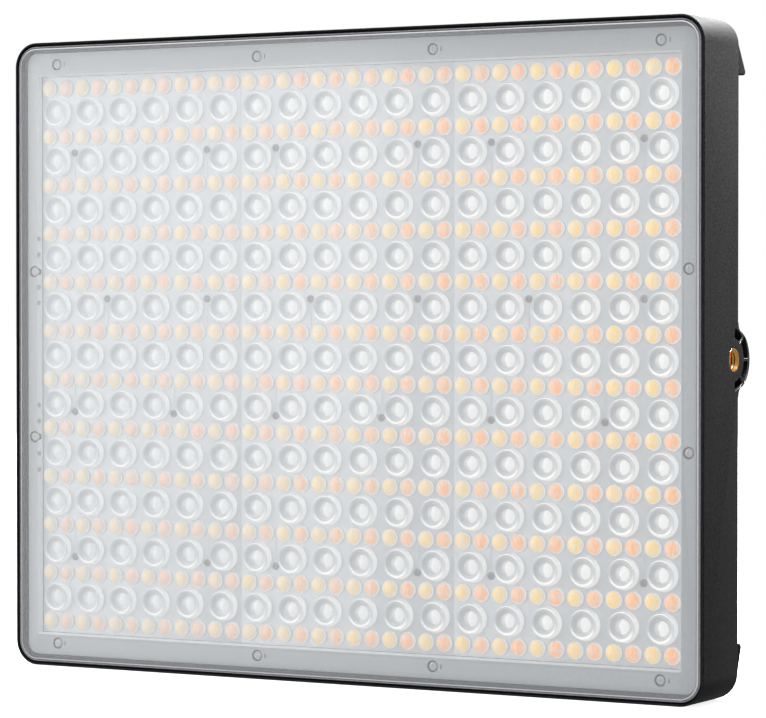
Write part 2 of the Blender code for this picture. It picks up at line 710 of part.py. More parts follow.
def make_knobs():
    """An encoder, its shaft and a knob on each side. The knob's blind bore takes the shaft."""
    body_back = CONTROL_BACK - CONTROL_WALL - GAP
    shaft_layer = (CONTROL_BOARD[1] + 3 * GAP, KNOB_BACK - 2 * MM)
    bore = SHAFT_RADIUS + GAP
    bore_end = KNOB_BACK - KNOB_FRONT - KNOB_TOP
    top = KNOB_BACK - KNOB_FRONT
    profile = [
        (0, top),
        (KNOB_RADIUS - KNOB_EDGE, top),
        (KNOB_RADIUS, top - KNOB_EDGE),
        (KNOB_RADIUS, 0),
        (bore, 0),
        (bore, bore_end),
        (0, bore_end),
    ]
    for side, label in ((-1, "left"), (1, "right")):
        x = side * KNOB_X
        body_layer = (CONTROL_BOARD[1] + GAP, body_back)
        encoder = slab(ENCODER_SIZE, body_layer, x, KNOB_HEIGHT)
        encoder = part(f"encoder_{label}", encoder, steel)
        hole = (shaft_layer[0] - GAP, CONTROL_BACK)
        cut(encoder, f"encoder_bore_{label}", round_of(bore, hole, x, KNOB_HEIGHT, 16))
        shaft = round_of(SHAFT_RADIUS, shaft_layer, segments=16)
        part(f"encoder_shaft_{label}", shaft, steel, (x, 0, KNOB_HEIGHT))
        turned(f"knob_{label}", profile, knob_plastic, (x, KNOB_FRONT, KNOB_HEIGHT), steps=28)


def make_switch():
    """A rocker in its bezel. The rocker rests with its lower end out, and pivots about X."""
    well = grown(SWITCH_SIZE, -SWITCH_RIM)
    body = slab(SWITCH_SIZE, (SOCKET_FRONT, CONTROL_BACK + MM), SWITCH_X, SOCKET_HEIGHT)
    housing = part("switch_housing", body, black_plastic)
    bezel_layer = (CONTROL_BACK + GAP, CONTROL_BACK + 1.3 * MM)
    bezel = rounded(grown(SWITCH_SIZE, MM), bezel_layer, MM, SWITCH_X, SOCKET_HEIGHT, 1)
    join(housing, "switch_bezel", bezel)
    well_layer = (SWITCH_WELL_FRONT, CONTROL_BACK + 5 * MM)
    cut(housing, "switch_well", slab(well, well_layer, SWITCH_X, SOCKET_HEIGHT))
    half, crown, foot = 7.5 * MM, 2.6 * MM, 4.6 * MM
    points = [(-4 * MM, -foot), (crown, -half), (1.5 * MM, 0), (crown, half), (-4 * MM, foot)]
    tilt = Matrix.Rotation(math.radians(SWITCH_TILT), 2)
    points = [tuple(tilt @ Vector(point)) for point in points]
    pivot = (SWITCH_X, SWITCH_PIVOT, SOCKET_HEIGHT)
    part("switch_rocker", outline_body(points, well[0] - 2 * GAP), black_plastic, pivot, TO_SIDE)


def make_sockets():
    """The power inlet with its centre pin, and the data port with its tongue."""
    inlet_layer = (SOCKET_FRONT, CONTROL_BACK + 0.4 * MM)
    inlet_body = slab(INLET_SIZE, inlet_layer, INLET_X, SOCKET_HEIGHT)
    inlet = part("dc_inlet", inlet_body, black_plastic)
    bore_front = SOCKET_FRONT + 3 * MM
    bore_layer = (bore_front, CONTROL_BACK + 2 * MM)
    cut(inlet, "inlet_bore", round_of(INLET_BORE, bore_layer, INLET_X, SOCKET_HEIGHT, 16))
    pin_layer = (bore_front - 0.5 * MM, CONTROL_BACK - 0.6 * MM)
    join(inlet, "inlet_pin", round_of(INLET_PIN, pin_layer, INLET_X, SOCKET_HEIGHT, 8))
    usb_layer = (CONTROL_BACK - 8 * MM, CONTROL_BACK)
    usb_body = rounded(USB_SIZE, usb_layer, 1.5 * MM, USB_X, SOCKET_HEIGHT, 3)
    usb = part("usb_port", usb_body, steel)
    mouth = grown(USB_SIZE, -0.4 * MM)
    mouth_layer = (usb_layer[0] + 1.5 * MM, CONTROL_BACK + MM)
    cut(usb, "usb_mouth", rounded(mouth, mouth_layer, 1.2 * MM, USB_X, SOCKET_HEIGHT, 3))
    tongue_layer = (usb_layer[0] + MM, CONTROL_BACK - MM)
    tongue = slab((6.6 * MM, 0.7 * MM), tongue_layer, USB_X, SOCKET_HEIGHT)
    join(usb, "usb_tongue", tongue)


# Battery plates


def make_battery_plate(side, label):
    """A base with two side rails, and a stop at the bottom that holds the release latch."""
    x = side * BATTERY_X
    width, height = BATTERY_PLATE_SIZE
    body = rounded(BATTERY_PLATE_SIZE, BATTERY_PLATE, 3 * MM, x)
    plate = part(f"battery_plate_{label}", body, black_plastic)
    rail = (width - BATTERY_WIDTH) / 2 - 0.6 * MM
    rails = bmesh.new()
    rail_layer = (BATTERY_PLATE[1] - MM, RAIL_BACK)
    for way in (-1, 1):
        rail_x = x + way * (BATTERY_WIDTH + rail) / 2
        add_slab(rails, (rail, height - 8 * MM), rail_layer, rail_x)
    join(plate, f"rails_{label}", rails)
    bottom = -height / 2 + 0.8 * MM
    stop = (BATTERY_WIDTH + rail, STOP_TOP - bottom)
    join(plate, f"stop_{label}", slab(stop, rail_layer, x, (STOP_TOP + bottom) / 2))
    pocket = (LATCH_WIDTH + 2 * GAP, LATCH_POCKET[1] - LATCH_POCKET[0])
    pocket_layer = (BATTERY_PLATE[1] + GAP, RAIL_BACK + MM)
    cut(plate, f"latch_pocket_{label}", slab(pocket, pocket_layer, x, sum(LATCH_POCKET) / 2))
    slot_layer = (BATTERY_PLATE[1] + GAP, BATTERY_PLATE[1] + 3.2 * MM)
    slot = slab((9 * MM, 6 * MM), slot_layer, x, STOP_TOP - MM)
    cut(plate, f"nose_slot_{label}", slot)
    recess_layer = (CONTACT_FRONT, BATTERY_PLATE[1] + MM)
    recess = slab(CONTACT_SIZE, recess_layer, x, CONTACT_HEIGHT)
    cut(plate, f"contact_recess_{label}", recess)
    contact_layer = (CONTACT_FRONT + GAP, BATTERY_PLATE[1] - 0.1 * MM)
    contacts = slab(grown(CONTACT_SIZE, -GAP), contact_layer, x, CONTACT_HEIGHT)
    part(f"battery_contacts_{label}", contacts, gold)


def make_latch(side, label):
    """The release latch, whose nose holds the battery, and the spring that pushes it up."""
    x = side * BATTERY_X
    low, high = LATCH
    layer = (BATTERY_PLATE[1] + 2 * GAP, RAIL_BACK + 0.8 * MM)
    latch = part(
        f"battery_latch_{label}",
        slab((LATCH_WIDTH, high - low), layer, 0, (low + high) / 2),
        grey_plastic,
        (x, 0, 0),
    )
    nose_layer = (layer[0], layer[0] + 2.2 * MM)
    nose = slab((8.4 * MM, 5 * MM), nose_layer, 0, high + MM)
    join(latch, f"latch_nose_{label}", nose, (x, 0, 0))
    turns, coil_radius, wire_radius, around = 4, 1.5 * MM, 0.3 * MM, 8
    start = LATCH_POCKET[0] + GAP + wire_radius
    end = low - GAP - wire_radius
    depth = sum(layer) / 2
    points = []
    for step in range(turns * around + 1):
        angle = step * math.tau / around
        rise = start + (end - start) * step / (turns * around)
        points.append((x + coil_radius * math.cos(angle), depth + coil_radius * math.sin(angle), rise))
    wire(f"latch_spring_{label}", points, wire_radius, steel, sides=1)


def make_battery_plates():
    for side, label in ((-1, "left"), (1, "right")):
        make_battery_plate(side, label)
        make_latch(side, label)


clear_scene()
parts = new_collection("LED panel light")
cutters = new_collection("Cutters")
centre = bpy.data.objects.new("panel_centre", None)
centre.location = (0, -SHELL_DEPTH / 2, HEIGHT / 2)
parts.objects.link(centre)

black_plastic = material("black_plastic", (0.032, 0.032, 0.034), 0.6)
knob_plastic = material("knob_plastic", (0.02, 0.02, 0.022), 0.45)
grey_plastic = material("grey_plastic", (0.12, 0.12, 0.125), 0.5)
white_plastic = material("white_plastic", (0.62, 0.64, 0.64), 0.45)
clear_plastic = material("clear_plastic", (0.88, 0.9, 0.9), 0.15, alpha=0.35)
smoked_plastic = material("smoked_plastic", (0.01, 0.01, 0.012), 0.12)
foam = material("foam", (0.03, 0.03, 0.032), 0.9)
rubber = material("rubber", (0.025, 0.025, 0.025), 0.75)
steel = material("steel", (0.55, 0.55, 0.56), 0.35, 1.0)
brass = material("brass", (0.72, 0.55, 0.28), 0.35, 1.0)
gold = material("gold_contacts", (0.83, 0.65, 0.3), 0.3, 1.0)
aluminium = material("aluminium", (0.75, 0.76, 0.77), 0.4, 1.0)
white_board = material("white_board", (0.8, 0.81, 0.8), 0.45)
green_board = material("green_board", (0.03, 0.16, 0.07), 0.45)
grey_pad = material("grey_pad", (0.4, 0.42, 0.45), 0.85)

make_shell()
make_inserts()
make_feet()
make_cover()
make_frame()
make_screws()
make_lens_plates()
make_boards_and_sink()
make_driver_board()
make_fan()
make_control_housing()
make_display()
make_control_board()
make_buttons()
make_knobs()
make_switch()
make_sockets()
make_battery_plates()
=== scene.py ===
"""The looks of a flat LED panel light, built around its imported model.

Places are in panel terms: x to the right seen from the front, depth back from the front rim, and height from
the middle of the panel. at() carries them to the model's frame. Lengths there are in millimetres.
"""

from math import asin, atan2, copysign, cos, degrees, hypot, pi, radians, sin, sqrt, tau

import bmesh
import bpy
from mathutils import Matrix, Vector


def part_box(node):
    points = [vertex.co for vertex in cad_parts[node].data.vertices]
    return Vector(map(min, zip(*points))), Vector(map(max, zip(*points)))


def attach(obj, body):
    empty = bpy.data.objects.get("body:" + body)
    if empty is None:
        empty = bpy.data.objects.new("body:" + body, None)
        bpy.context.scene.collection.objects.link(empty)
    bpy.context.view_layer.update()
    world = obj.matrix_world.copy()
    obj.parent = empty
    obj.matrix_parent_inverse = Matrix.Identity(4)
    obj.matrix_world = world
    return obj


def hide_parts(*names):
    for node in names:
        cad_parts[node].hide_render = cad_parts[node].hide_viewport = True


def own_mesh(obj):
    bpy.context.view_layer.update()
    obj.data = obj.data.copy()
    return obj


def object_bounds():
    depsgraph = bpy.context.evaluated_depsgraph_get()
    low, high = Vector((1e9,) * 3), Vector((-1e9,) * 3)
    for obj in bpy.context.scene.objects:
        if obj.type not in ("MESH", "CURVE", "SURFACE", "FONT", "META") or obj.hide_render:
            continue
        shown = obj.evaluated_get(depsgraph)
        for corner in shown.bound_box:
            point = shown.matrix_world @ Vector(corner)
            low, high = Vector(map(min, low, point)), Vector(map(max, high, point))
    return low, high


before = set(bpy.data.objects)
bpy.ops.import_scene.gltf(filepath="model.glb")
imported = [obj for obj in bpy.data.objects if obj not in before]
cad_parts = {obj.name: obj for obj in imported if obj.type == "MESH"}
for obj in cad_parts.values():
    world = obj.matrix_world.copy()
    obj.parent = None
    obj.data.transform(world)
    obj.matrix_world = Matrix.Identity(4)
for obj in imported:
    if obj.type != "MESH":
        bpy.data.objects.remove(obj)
cad_low, cad_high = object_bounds()

MM = 0.001

shell_low, shell_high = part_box("rear_shell")
FRONT = shell_low.y
MIDDLE = (shell_low.z + shell_high.z) / 2
WIDTH = (shell_high.x - shell_low.x) / MM
HEIGHT = (shell_high.z - shell_low.z) / MM

# Housing
SHELL_DEPTH = (shell_high.y - shell_low.y) / MM
CORNER_RADIUS = 10
LIP = 0.8
WALL = 3.4
LEDGE = 3.3
BACK_INSIDE = SHELL_DEPTH - 2
CORNER_STEPS = 14

# Lenses
COLUMNS, ROWS, PLATES = 6, 11, 3
PITCH_X, PITCH_Z = 16.15, 20
FIELD_HALF_WIDTH = PITCH_X * COLUMNS * PLATES / 2
FIELD_HALF_HEIGHT = 115
PLATE_FRONT = 5.6
LENS_STEPS = 24
DOME_STEPS = 14
# Where the light field is seen through the cover, which the photo shows a little to the left and lower
SEEN_FIELD = Matrix.Translation((-0.7 * MM, 0, -0.3 * MM)) @ Matrix.Diagonal((1.002, 1, 1, 1))

# The painted light on the panel's left side, a painted veil of reflected light and a dimmer painted glow:
# its slope per metre, and the veil's colour
PAINTED_LIGHT_LEFT_SLOPE = 3.2
PAINTED_VEIL_COLOUR = (0.64, 0.67, 0.69)

# Back
SIDE_GROUP = 98
SLOT_WIDTH = 2.4
GRILLE_RADIUS = 23
GRILLE_HEIGHT = 88
VENT_HEIGHT = 84
CONTROL_WINDOW = (90, 122)
CONTROL_HEIGHT = -10
BATTERY_FLOOR = 37.8
LATCH_RIDGE = -38.9
KEYS = {"mode": (-9.5, -1.5), "menu": (9.5, -1.5), "effect": (-9.5, -14.5), "set": (9.5, -14.5)}

# Side mounts
MOUNT_DEPTH = 27.3
BOSS_DEPTH = 31.2
BOSS_RADIUS = 11.1
BOSS_FILLET = 4
POCKET_FLOOR = 3
POCKET_RIB = 1.1
POCKETS = ((-67.5, 8.2, 11.8), (-22.5, 9, 13.2))
POCKETS += tuple((-angle, inner, outer) for angle, inner, outer in POCKETS)


def at(x, depth, height):
    """The model's frame, in metres, of a place in panel terms."""
    return Vector((x * MM, FRONT + depth * MM, MIDDLE + height * MM))


def panel_terms(point):
    """The x, depth and height of a point in the model's frame."""
    return point.x / MM, (point.y - FRONT) / MM, (point.z - MIDDLE) / MM


def span(node):
    """A node's middle x, middle height, front depth, back depth, width and height."""
    (left, front, bottom), (right, back, top) = map(panel_terms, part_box(node))
    return (left + right) / 2, (bottom + top) / 2, front, back, right - left, top - bottom


# Materials


class Nodes:
    """A material's node tree, with short calls for the nodes that the materials share."""

    def __init__(self, name, colour, roughness, metallic=0.0):
        self.material = bpy.data.materials.new(name)
        self.material.use_nodes = True
        self.tree = self.material.node_tree
        self.shader = self.tree.nodes["Principled BSDF"]
        self.set("Base Color", (*colour, 1))
        self.set("Roughness", roughness)
        self.set("Metallic", metallic)
        self.material.diffuse_color = (*colour, 1)

    def set(self, socket, value):
        self.shader.inputs[socket].default_value = value

    def add(self, kind, **inputs):
        node = self.tree.nodes.new(kind)
        for name, value in inputs.items():
            if hasattr(node, name):
                setattr(node, name, value)
            else:
                node.inputs[name.replace("_", " ")].default_value = value
        return node

    def link(self, source, target):
        self.tree.links.new(source, target)

    def position(self):
        return self.add("ShaderNodeTexCoord").outputs["Object"]

    def noise(self, scale, detail=3.0, stretch=None):
        where = self.position()
        if stretch:
            mapping = self.add("ShaderNodeMapping")
            mapping.inputs["Scale"].default_value = stretch
            self.link(where, mapping.inputs["Vector"])
            where = mapping.outputs["Vector"]
        node = self.add("ShaderNodeTexNoise", Scale=scale, Detail=detail)
        self.link(where, node.inputs["Vector"])
        return node.outputs["Fac"]

    def ramp(self, source, stops):
        """Stops are (place, colour), with a colour as (r, g, b) or one grey."""
        node = self.add("ShaderNodeValToRGB")
        ramp = node.color_ramp
        while len(ramp.elements) < len(stops):
            ramp.elements.new(0.5)
        for element, (place, colour) in zip(ramp.elements, stops):
            element.position = place
            colour = colour if isinstance(colour, tuple) else (colour,) * 3
            element.color = (*colour, 1)
        self.link(source, node.inputs["Fac"])
        return node.outputs["Color"]

    def mix(self, factor, first, second):
        node = self.add("ShaderNodeMix", data_type="RGBA")
        for socket, value in (("Factor", factor), ("A", first), ("B", second)):
            target = next(i for i in node.inputs if i.name == socket and i.enabled)
            if isinstance(value, bpy.types.NodeSocket):
                self.link(value, target)
            else:
                target.default_value = (*value, 1) if isinstance(value, tuple) else value
        return next(o for o in node.outputs if o.enabled)

    def math(self, operation, first, second=None):
        node = self.add("ShaderNodeMath", operation=operation)
        for socket, value in zip(node.inputs, (first, second)):
            if isinstance(value, bpy.types.NodeSocket):
                self.link(value, socket)
            elif value is not None:
                socket.default_value = value
        return node.outputs[0]

    def half_plus(self, source, factor):
        """0.5 and a multiple of a value."""
        node = self.math("MULTIPLY_ADD", source, factor).node
        node.inputs[2].default_value = 0.5
        return node.outputs[0]

    def vector(self, operation, source, amount=None):
        """Vector maths on a socket and a fixed vector. The outputs are Vector and Value."""
        node = self.add("ShaderNodeVectorMath", operation=operation)
        self.link(source, node.inputs[0])
        if amount is not None:
            node.inputs[1].default_value = amount
        return node.outputs

    def normal(self):
        return self.add("ShaderNodeNewGeometry").outputs["Normal"]

    def bump(self, source, height):
        node = self.add("ShaderNodeBump", Distance=height * MM)
        if self.shader.inputs["Normal"].is_linked:
            self.link(self.shader.inputs["Normal"].links[0].from_socket, node.inputs["Normal"])
        self.link(source, node.inputs["Height"])
        self.link(node.outputs["Normal"], self.shader.inputs["Normal"])

    def colour(self, source):
        self.link(source, self.shader.inputs["Base Color"])

    def roughness(self, source):
        self.link(source, self.shader.inputs["Roughness"])


def grained(name, colour, roughness, grain, height, fleck, gloss=0.5):
    """Moulded plastic with a spark-eroded grain: fine pits, lighter flecks and slow cloudy wear."""
    made = Nodes(name, colour, roughness)
    grains = made.noise(grain, 2.0)
    clouds = made.noise(24, 4.0)
    low = tuple(c * (1 - fleck) for c in colour)
    high = tuple(c * (1 + fleck) for c in colour)
    speckled = made.ramp(grains, ((0.35, low), (0.65, high)))
    made.colour(made.mix(made.ramp(clouds, ((0.3, 0.0), (0.8, 0.25))), speckled, high))
    made.roughness(made.ramp(clouds, ((0.3, roughness - 0.06), (0.7, roughness + 0.08))))
    made.bump(grains, height)
    made.set("Specular IOR Level", gloss)
    return made.material


def satin(name, colour, roughness):
    """Polished or satin plastic with a faint moulding waviness and fingerprints in its gloss."""
    made = Nodes(name, colour, roughness)
    waves = made.noise(60, 2.0)
    smears = made.noise(210, 5.0, stretch=(1, 1, 0.3))
    darker = tuple(c * 0.9 for c in colour)
    made.colour(made.ramp(waves, ((0.3, darker), (0.7, colour))))
    made.roughness(made.ramp(smears, ((0.35, roughness * 0.85), (0.75, roughness * 1.25))))
    made.bump(waves, 0.02)
    return made.material


def metal(name, colour, roughness, stretch=(1, 1, 14)):
    """Machined metal: fine turning or drawing lines along one way, and slight tarnish."""
    made = Nodes(name, colour, roughness, 1.0)
    lines = made.noise(300, 3.0, stretch=stretch)
    stains = made.noise(90, 4.0)
    darker = tuple(c * 0.78 for c in colour)
    made.colour(made.mix(made.ramp(stains, ((0.4, 0.0), (0.8, 0.6))), colour, darker))
    made.roughness(made.ramp(lines, ((0.3, roughness * 0.8), (0.7, roughness * 1.35))))
    made.bump(lines, 0.015)
    return made.material


def facing(made, way):
    """How far the surface faces a way in the model's frame, from -1 to 1."""
    return made.vector("DOT_PRODUCT", made.normal(), Vector(way).normalized())["Value"]


def left_fade(made, reach):
    """A share that grows from 0 at the panel's right side to reach at its left side."""
    across = made.add("ShaderNodeSeparateXYZ")
    made.link(made.position(), across.inputs["Vector"])
    return made.ramp(made.half_plus(across.outputs["X"], PAINTED_LIGHT_LEFT_SLOPE), ((0.08, reach), (0.88, 0.0)))


def painted_veil(made, shade, reach=0.5):
    """Fades a colour to pale grey towards the panel's left side: a painted veil of reflected light."""
    return made.mix(left_fade(made, reach), shade, PAINTED_VEIL_COLOUR)


def lit(made, shade, painted_glow, fall=0.0, coat=0.3, coat_roughness=0.1):
    """Finishes a clear plastic: its colour, its gloss, and a painted glow, an emission that stands in for
    light coming through it from the white board, dimmer towards the left by fall.
    """
    made.colour(shade)
    if fall:
        shade = made.mix(left_fade(made, fall), shade, (0.0, 0.0, 0.0))
    made.link(shade, made.shader.inputs["Emission Color"])
    made.set("Emission Strength", painted_glow)
    if coat:
        made.set("Coat Weight", coat)
        made.set("Coat Roughness", coat_roughness)
    return made.material


def off_centre(made, tilt, across, up):
    """How far the surface leans from a tilt towards x, weighed apart across and upwards."""
    lean = made.vector("SUBTRACT", made.normal(), (tilt, 0, 0))["Vector"]
    weighed = made.vector("MULTIPLY", lean, (across, 0, up))["Vector"]
    return made.vector("LENGTH", weighed)["Value"]


def ragged(made, level, scale, reach, detail=2.0, stretch=None):
    """Adds small irregular steps to a level."""
    steps = made.math("SUBTRACT", made.noise(scale, detail, stretch), 0.5)
    return made.math("ADD", level, made.math("MULTIPLY", steps, reach))


def clear_moulding(name, away, towards, way, painted_glow, streaks=0.12):
    """Clear plastic over white, with painted light and shade: the side that faces one way is painted
    brighter, the other side darker. It has moulding streaks and a painted glow.
    """
    made = Nodes(name, towards, 0.18)
    side = made.half_plus(facing(made, way), 0.5)
    side = ragged(made, side, 420, streaks * 2, 4.0, (1, 1, 2.2))
    shade = painted_veil(made, made.ramp(side, ((0.18, away), (0.82, towards))))
    made.bump(made.noise(700, 2.0), 0.015)
    return lit(made, shade, painted_glow, coat_roughness=0.08)


def lens_lip(name, painted_dim, painted_bright, stops, painted_glow, both=False):
    """A lens's rim with a painted highlight where it faces up, or both up and down, and a painted glow."""
    made = Nodes(name, painted_bright, 0.2)
    level = facing(made, (0, 0, 1))
    if both:
        level = made.math("ABSOLUTE", level)
    level = ragged(made, level, 500, 0.12)
    shade = painted_veil(made, made.ramp(level, ((stops[0], painted_dim), (stops[1], painted_bright))), 0.4)
    return lit(made, shade, painted_glow, 0.3)


def bright_core(name, rim, middle, painted_glow):
    """The white LED at the bottom of a lens: an upright bright patch in the dish, with a painted glow."""
    made = Nodes(name, middle, 0.2)
    level = ragged(made, off_centre(made, 0.25, 1.4, 0.57), 600, 0.28)
    shade = painted_veil(made, made.ramp(level, ((0.43, middle), (0.57, rim))), 0.6)
    return lit(made, shade, painted_glow, 0.3)


def phosphor_dome(name, core, edge, painted_glow):
    """A coloured LED magnified by its clear dome: an upright streaked patch with a ragged pale border, and a
    painted glow.
    """
    made = Nodes(name, core, 0.2)
    streaks = made.noise(1000, 3.0, stretch=(2.2, 1, 0.6))
    patches = made.noise(160, 2.0)
    pale = tuple(c + (e - c) * 0.7 for c, e in zip(core, edge))
    deep = tuple(c * f for c, f in zip(core, (1.0, 0.9, 0.74)))
    mottled = made.ramp(streaks, ((0.36, deep), (0.48, core), (0.62, pale)))
    inner = made.mix(made.ramp(patches, ((0.4, 0.0), (0.75, 0.4))), mottled, pale)
    level = ragged(made, off_centre(made, -0.07, 1.24, 0.86), 520, 0.42)
    shade = painted_veil(made, made.mix(made.ramp(level, ((0.4, 0.0), (0.58, 1.0))), inner, edge))
    return lit(made, shade, painted_glow, 0.38, 0.35)


def haze_sheet():
    """The cover's sheet: clear, with a faint frosting that veils what is behind it."""
    made = Nodes("cover_sheet", (0.86, 0.88, 0.9), 0.12)
    made.roughness(made.ramp(made.noise(9), ((0.3, 0.1), (0.7, 0.15))))
    made.set("Alpha", 0.22)
    made.bump(made.noise(35, 2.0), 0.02)
    return made.material


def cover_edge(name, colour, alpha, painted_glow):
    """The cover's cut edge: a given colour with a painted glow. On the bevel it is a bright painted
    highlight.
    """
    made = Nodes(name, colour, 0.25)
    darker = tuple(c * 0.92 for c in colour)
    made.set("Alpha", alpha)
    return lit(made, made.ramp(made.noise(500), ((0.3, darker), (0.7, colour))), painted_glow, coat=0.0)


# Mesh making


def add_object(name, data):
    item = bpy.data.objects.new(name, data)
    bpy.context.scene.collection.objects.link(item)
    return item


def helper(body, name, sharp=30):
    """An object from a bmesh: a piece, or a shape to join to one or cut out of one."""
    mesh = bpy.data.meshes.new(name)
    bmesh.ops.recalc_face_normals(body, faces=body.faces)
    body.to_mesh(mesh)
    body.free()
    mesh.shade_smooth()
    mesh.set_sharp_from_angle(angle=radians(sharp))
    return add_object(name, mesh)


def settle(item, rides, stands_for):
    """Ties a piece to its body and the nodes that it stands for."""
    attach(item, rides)
    if stands_for:
        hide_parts(*([stands_for] if isinstance(stands_for, str) else stands_for))
    return item


def piece(name, body, materials, rides="panel", stands_for=(), sharp=30):
    """A shown piece from a bmesh in the model's frame."""
    item = helper(body, name, sharp)
    for each in materials if isinstance(materials, (list, tuple)) else [materials]:
        item.data.materials.append(each)
    return settle(item, rides, stands_for)


def outline(half_width, half_height, radius, steps):
    """(x, height) points round a rounded rectangle, from the right side's top corner, anticlockwise."""
    points = []
    corners = ((1, 1, 0), (-1, 1, 90), (-1, -1, 180), (1, -1, 270))
    for side, level, start in corners:
        for step in range(steps + 1):
            angle = radians(start + 90 * step / steps)
            x = side * (half_width - radius) + radius * cos(angle)
            height = level * (half_height - radius) + radius * sin(angle)
            points.append((x, height))
    return points


def loft(body, rings, close=False, slots=None):
    """Skins equal rings of points, with closed ends or closed round. slots are the bands' materials."""
    made = [[body.verts.new(point) for point in ring] for ring in rings]
    slots = slots or [0] * len(made)
    count = len(made[0])
    for index, (one, other) in enumerate(zip(made, made[1:] + made[:1] if close else made[1:])):
        for k in range(count):
            after = (k + 1) % count
            face = body.faces.new((one[k], one[after], other[after], other[k]))
            face.material_index = slots[index]
    if not close:
        body.faces.new(made[0][::-1]).material_index = slots[0]
        body.faces.new(made[-1]).material_index = slots[-1]


def inset_ring(inset, depth):
    """The housing's outline moved inwards, at a depth."""
    radius = max(CORNER_RADIUS - inset, 0.4)
    points = outline(WIDTH / 2 - inset, HEIGHT / 2 - inset, radius, CORNER_STEPS)
    return [at(x, depth, height) for x, height in points]


def slab_rings(half, radius, steps, layers, x, height, least=0.1):
    """Rings for a rounded slab. layers are (inset, depth)."""
    rings = []
    for inset, depth in layers:
        points = outline(half[0] - inset, half[1] - inset, max(radius - inset, least), steps)
        rings.append([at(x + px, depth, height + pz) for px, pz in points])
    return rings


def soft_edge(radius, front, back, both):
    """(inset, depth) layers of a slab between two depths, with rounded edges at the back, or at both."""
    turns = [radians(30 * step) for step in range(4)]
    layers = [(0, front)]
    if both:
        layers = [(radius * (1 - sin(turn)), front + radius * (1 - cos(turn))) for turn in turns]
    return layers + [(radius * (1 - cos(turn)), back - radius * (1 - sin(turn))) for turn in turns]


def soft_slab(body, size, radius, edge, front, back, x, height, steps=6, both=False):
    half = (size[0] / 2, size[1] / 2)
    loft(body, slab_rings(half, radius, steps, soft_edge(edge, front, back, both), x, height))


def box(body, low, high):
    """A box between two corners given as (x, depth, height)."""
    low, high = at(*low), at(*high)
    matrix = Matrix.Translation((low + high) / 2) @ Matrix.Diagonal((*(high - low), 1))
    bmesh.ops.create_cube(body, size=1, matrix=matrix)


def lathe(body, profile, middle, axis, steps=32, close=False, slots=None):
    """Turns a profile of (radius, place along the axis). A radius of 0 makes a pole."""
    turn = Matrix.Rotation(pi / 2, 4, "Y") if axis == "X" else Matrix.Rotation(-pi / 2, 4, "X")
    rings = []
    for radius, along in profile:
        radius, along = radius * MM, along * MM
        if radius < 1e-9:
            rings.append([body.verts.new(middle + turn @ Vector((0, 0, along)))])
            continue
        ring = []
        for step in range(steps):
            angle = tau * step / steps
            point = Vector((radius * cos(angle), radius * sin(angle), along))
            ring.append(body.verts.new(middle + turn @ point))
        rings.append(ring)
    for index, (one, other) in enumerate(zip(rings, rings[1:] + rings[:1] if close else rings[1:])):
        for k in range(steps):
            after = (k + 1) % steps
            if len(one) == 1:
                face = body.faces.new((one[0], other[after], other[k]))
            elif len(other) == 1:
                face = body.faces.new((one[k], one[after], other[0]))
            else:
                face = body.faces.new((one[k], one[after], other[after], other[k]))
            face.material_index = slots[index] if slots else 0


def carve(item, operations):
    """Applies Booleans to an object, each (operation, bmesh), and drops the helpers."""
    for index, (operation, body) in enumerate(operations):
        other = helper(body, f"helper_{index}")
        modifier = item.modifiers.new(f"carve_{index}", "BOOLEAN")
        modifier.operation = operation
        modifier.object = other
        modifier.solver = "EXACT"
        bake(item)
        bpy.data.objects.remove(other)
    item.data.shade_smooth()
    item.data.set_sharp_from_angle(angle=radians(30))


def bake(item):
    """Applies an object's modifiers to its mesh."""
    made = bpy.data.meshes.new_from_object(item.evaluated_get(bpy.context.evaluated_depsgraph_get()))
    item.modifiers.clear()
    item.data = made


def tone(*screen):
    """A colour given as three values from 0 to 255 on a screen, as linear light."""
    return tuple(((c / 255 + 0.055) / 1.055) ** 2.4 for c in screen)


def softened(node, name, material, edge, rides="panel"):
    """A piece with a CAD node's shape and rounded edges, which stands for that node."""
    body = bmesh.new()
    body.from_mesh(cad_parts[node].data)
    bmesh.ops.remove_doubles(body, verts=body.verts, dist=MM / 1000)
    bmesh.ops.dissolve_limit(
        body, angle_limit=radians(1.5), verts=body.verts, edges=body.edges, delimit={"NORMAL"}
    )
    corners = [e for e in body.edges if e.is_convex and e.calc_face_angle(0) > radians(30)]
    bmesh.ops.bevel(
        body, geom=corners, offset=edge * MM, segments=2, profile=0.5, affect="EDGES", clamp_overlap=False
    )
    bmesh.ops.triangulate(body, faces=[face for face in body.faces if len(face.verts) > 4])
    item = piece(name, body, material, rides, node, sharp=40)
    item.modifiers.new("even_shading", "WEIGHTED_NORMAL").keep_sharp = True
    bake(item)


def dress(material, *nodes):
    """Gives CAD nodes that stay in view their finish."""
    for node in nodes:
        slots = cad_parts[node].data.materials
        slots.clear()
        slots.append(material)


def prism(body, points, layers, middle):
    """An outline of (depth, height) points carried along x. layers are (x, scale about the middle)."""
    rings = []
    for x, scale in layers:
        ring = []
        for depth, height in points:
            across = middle[0] + (depth - middle[0]) * scale
            up = middle[1] + (height - middle[1]) * scale
            ring.append(at(x, across, up))
        rings.append(ring)
    loft(body, rings)


def arc(middle, radius, start, end, steps):
    angles = [radians(start + (end - start) * step / steps) for step in range(steps + 1)]
    return [(middle[0] + radius * cos(a), middle[1] + radius * sin(a)) for a in angles]


# Housing


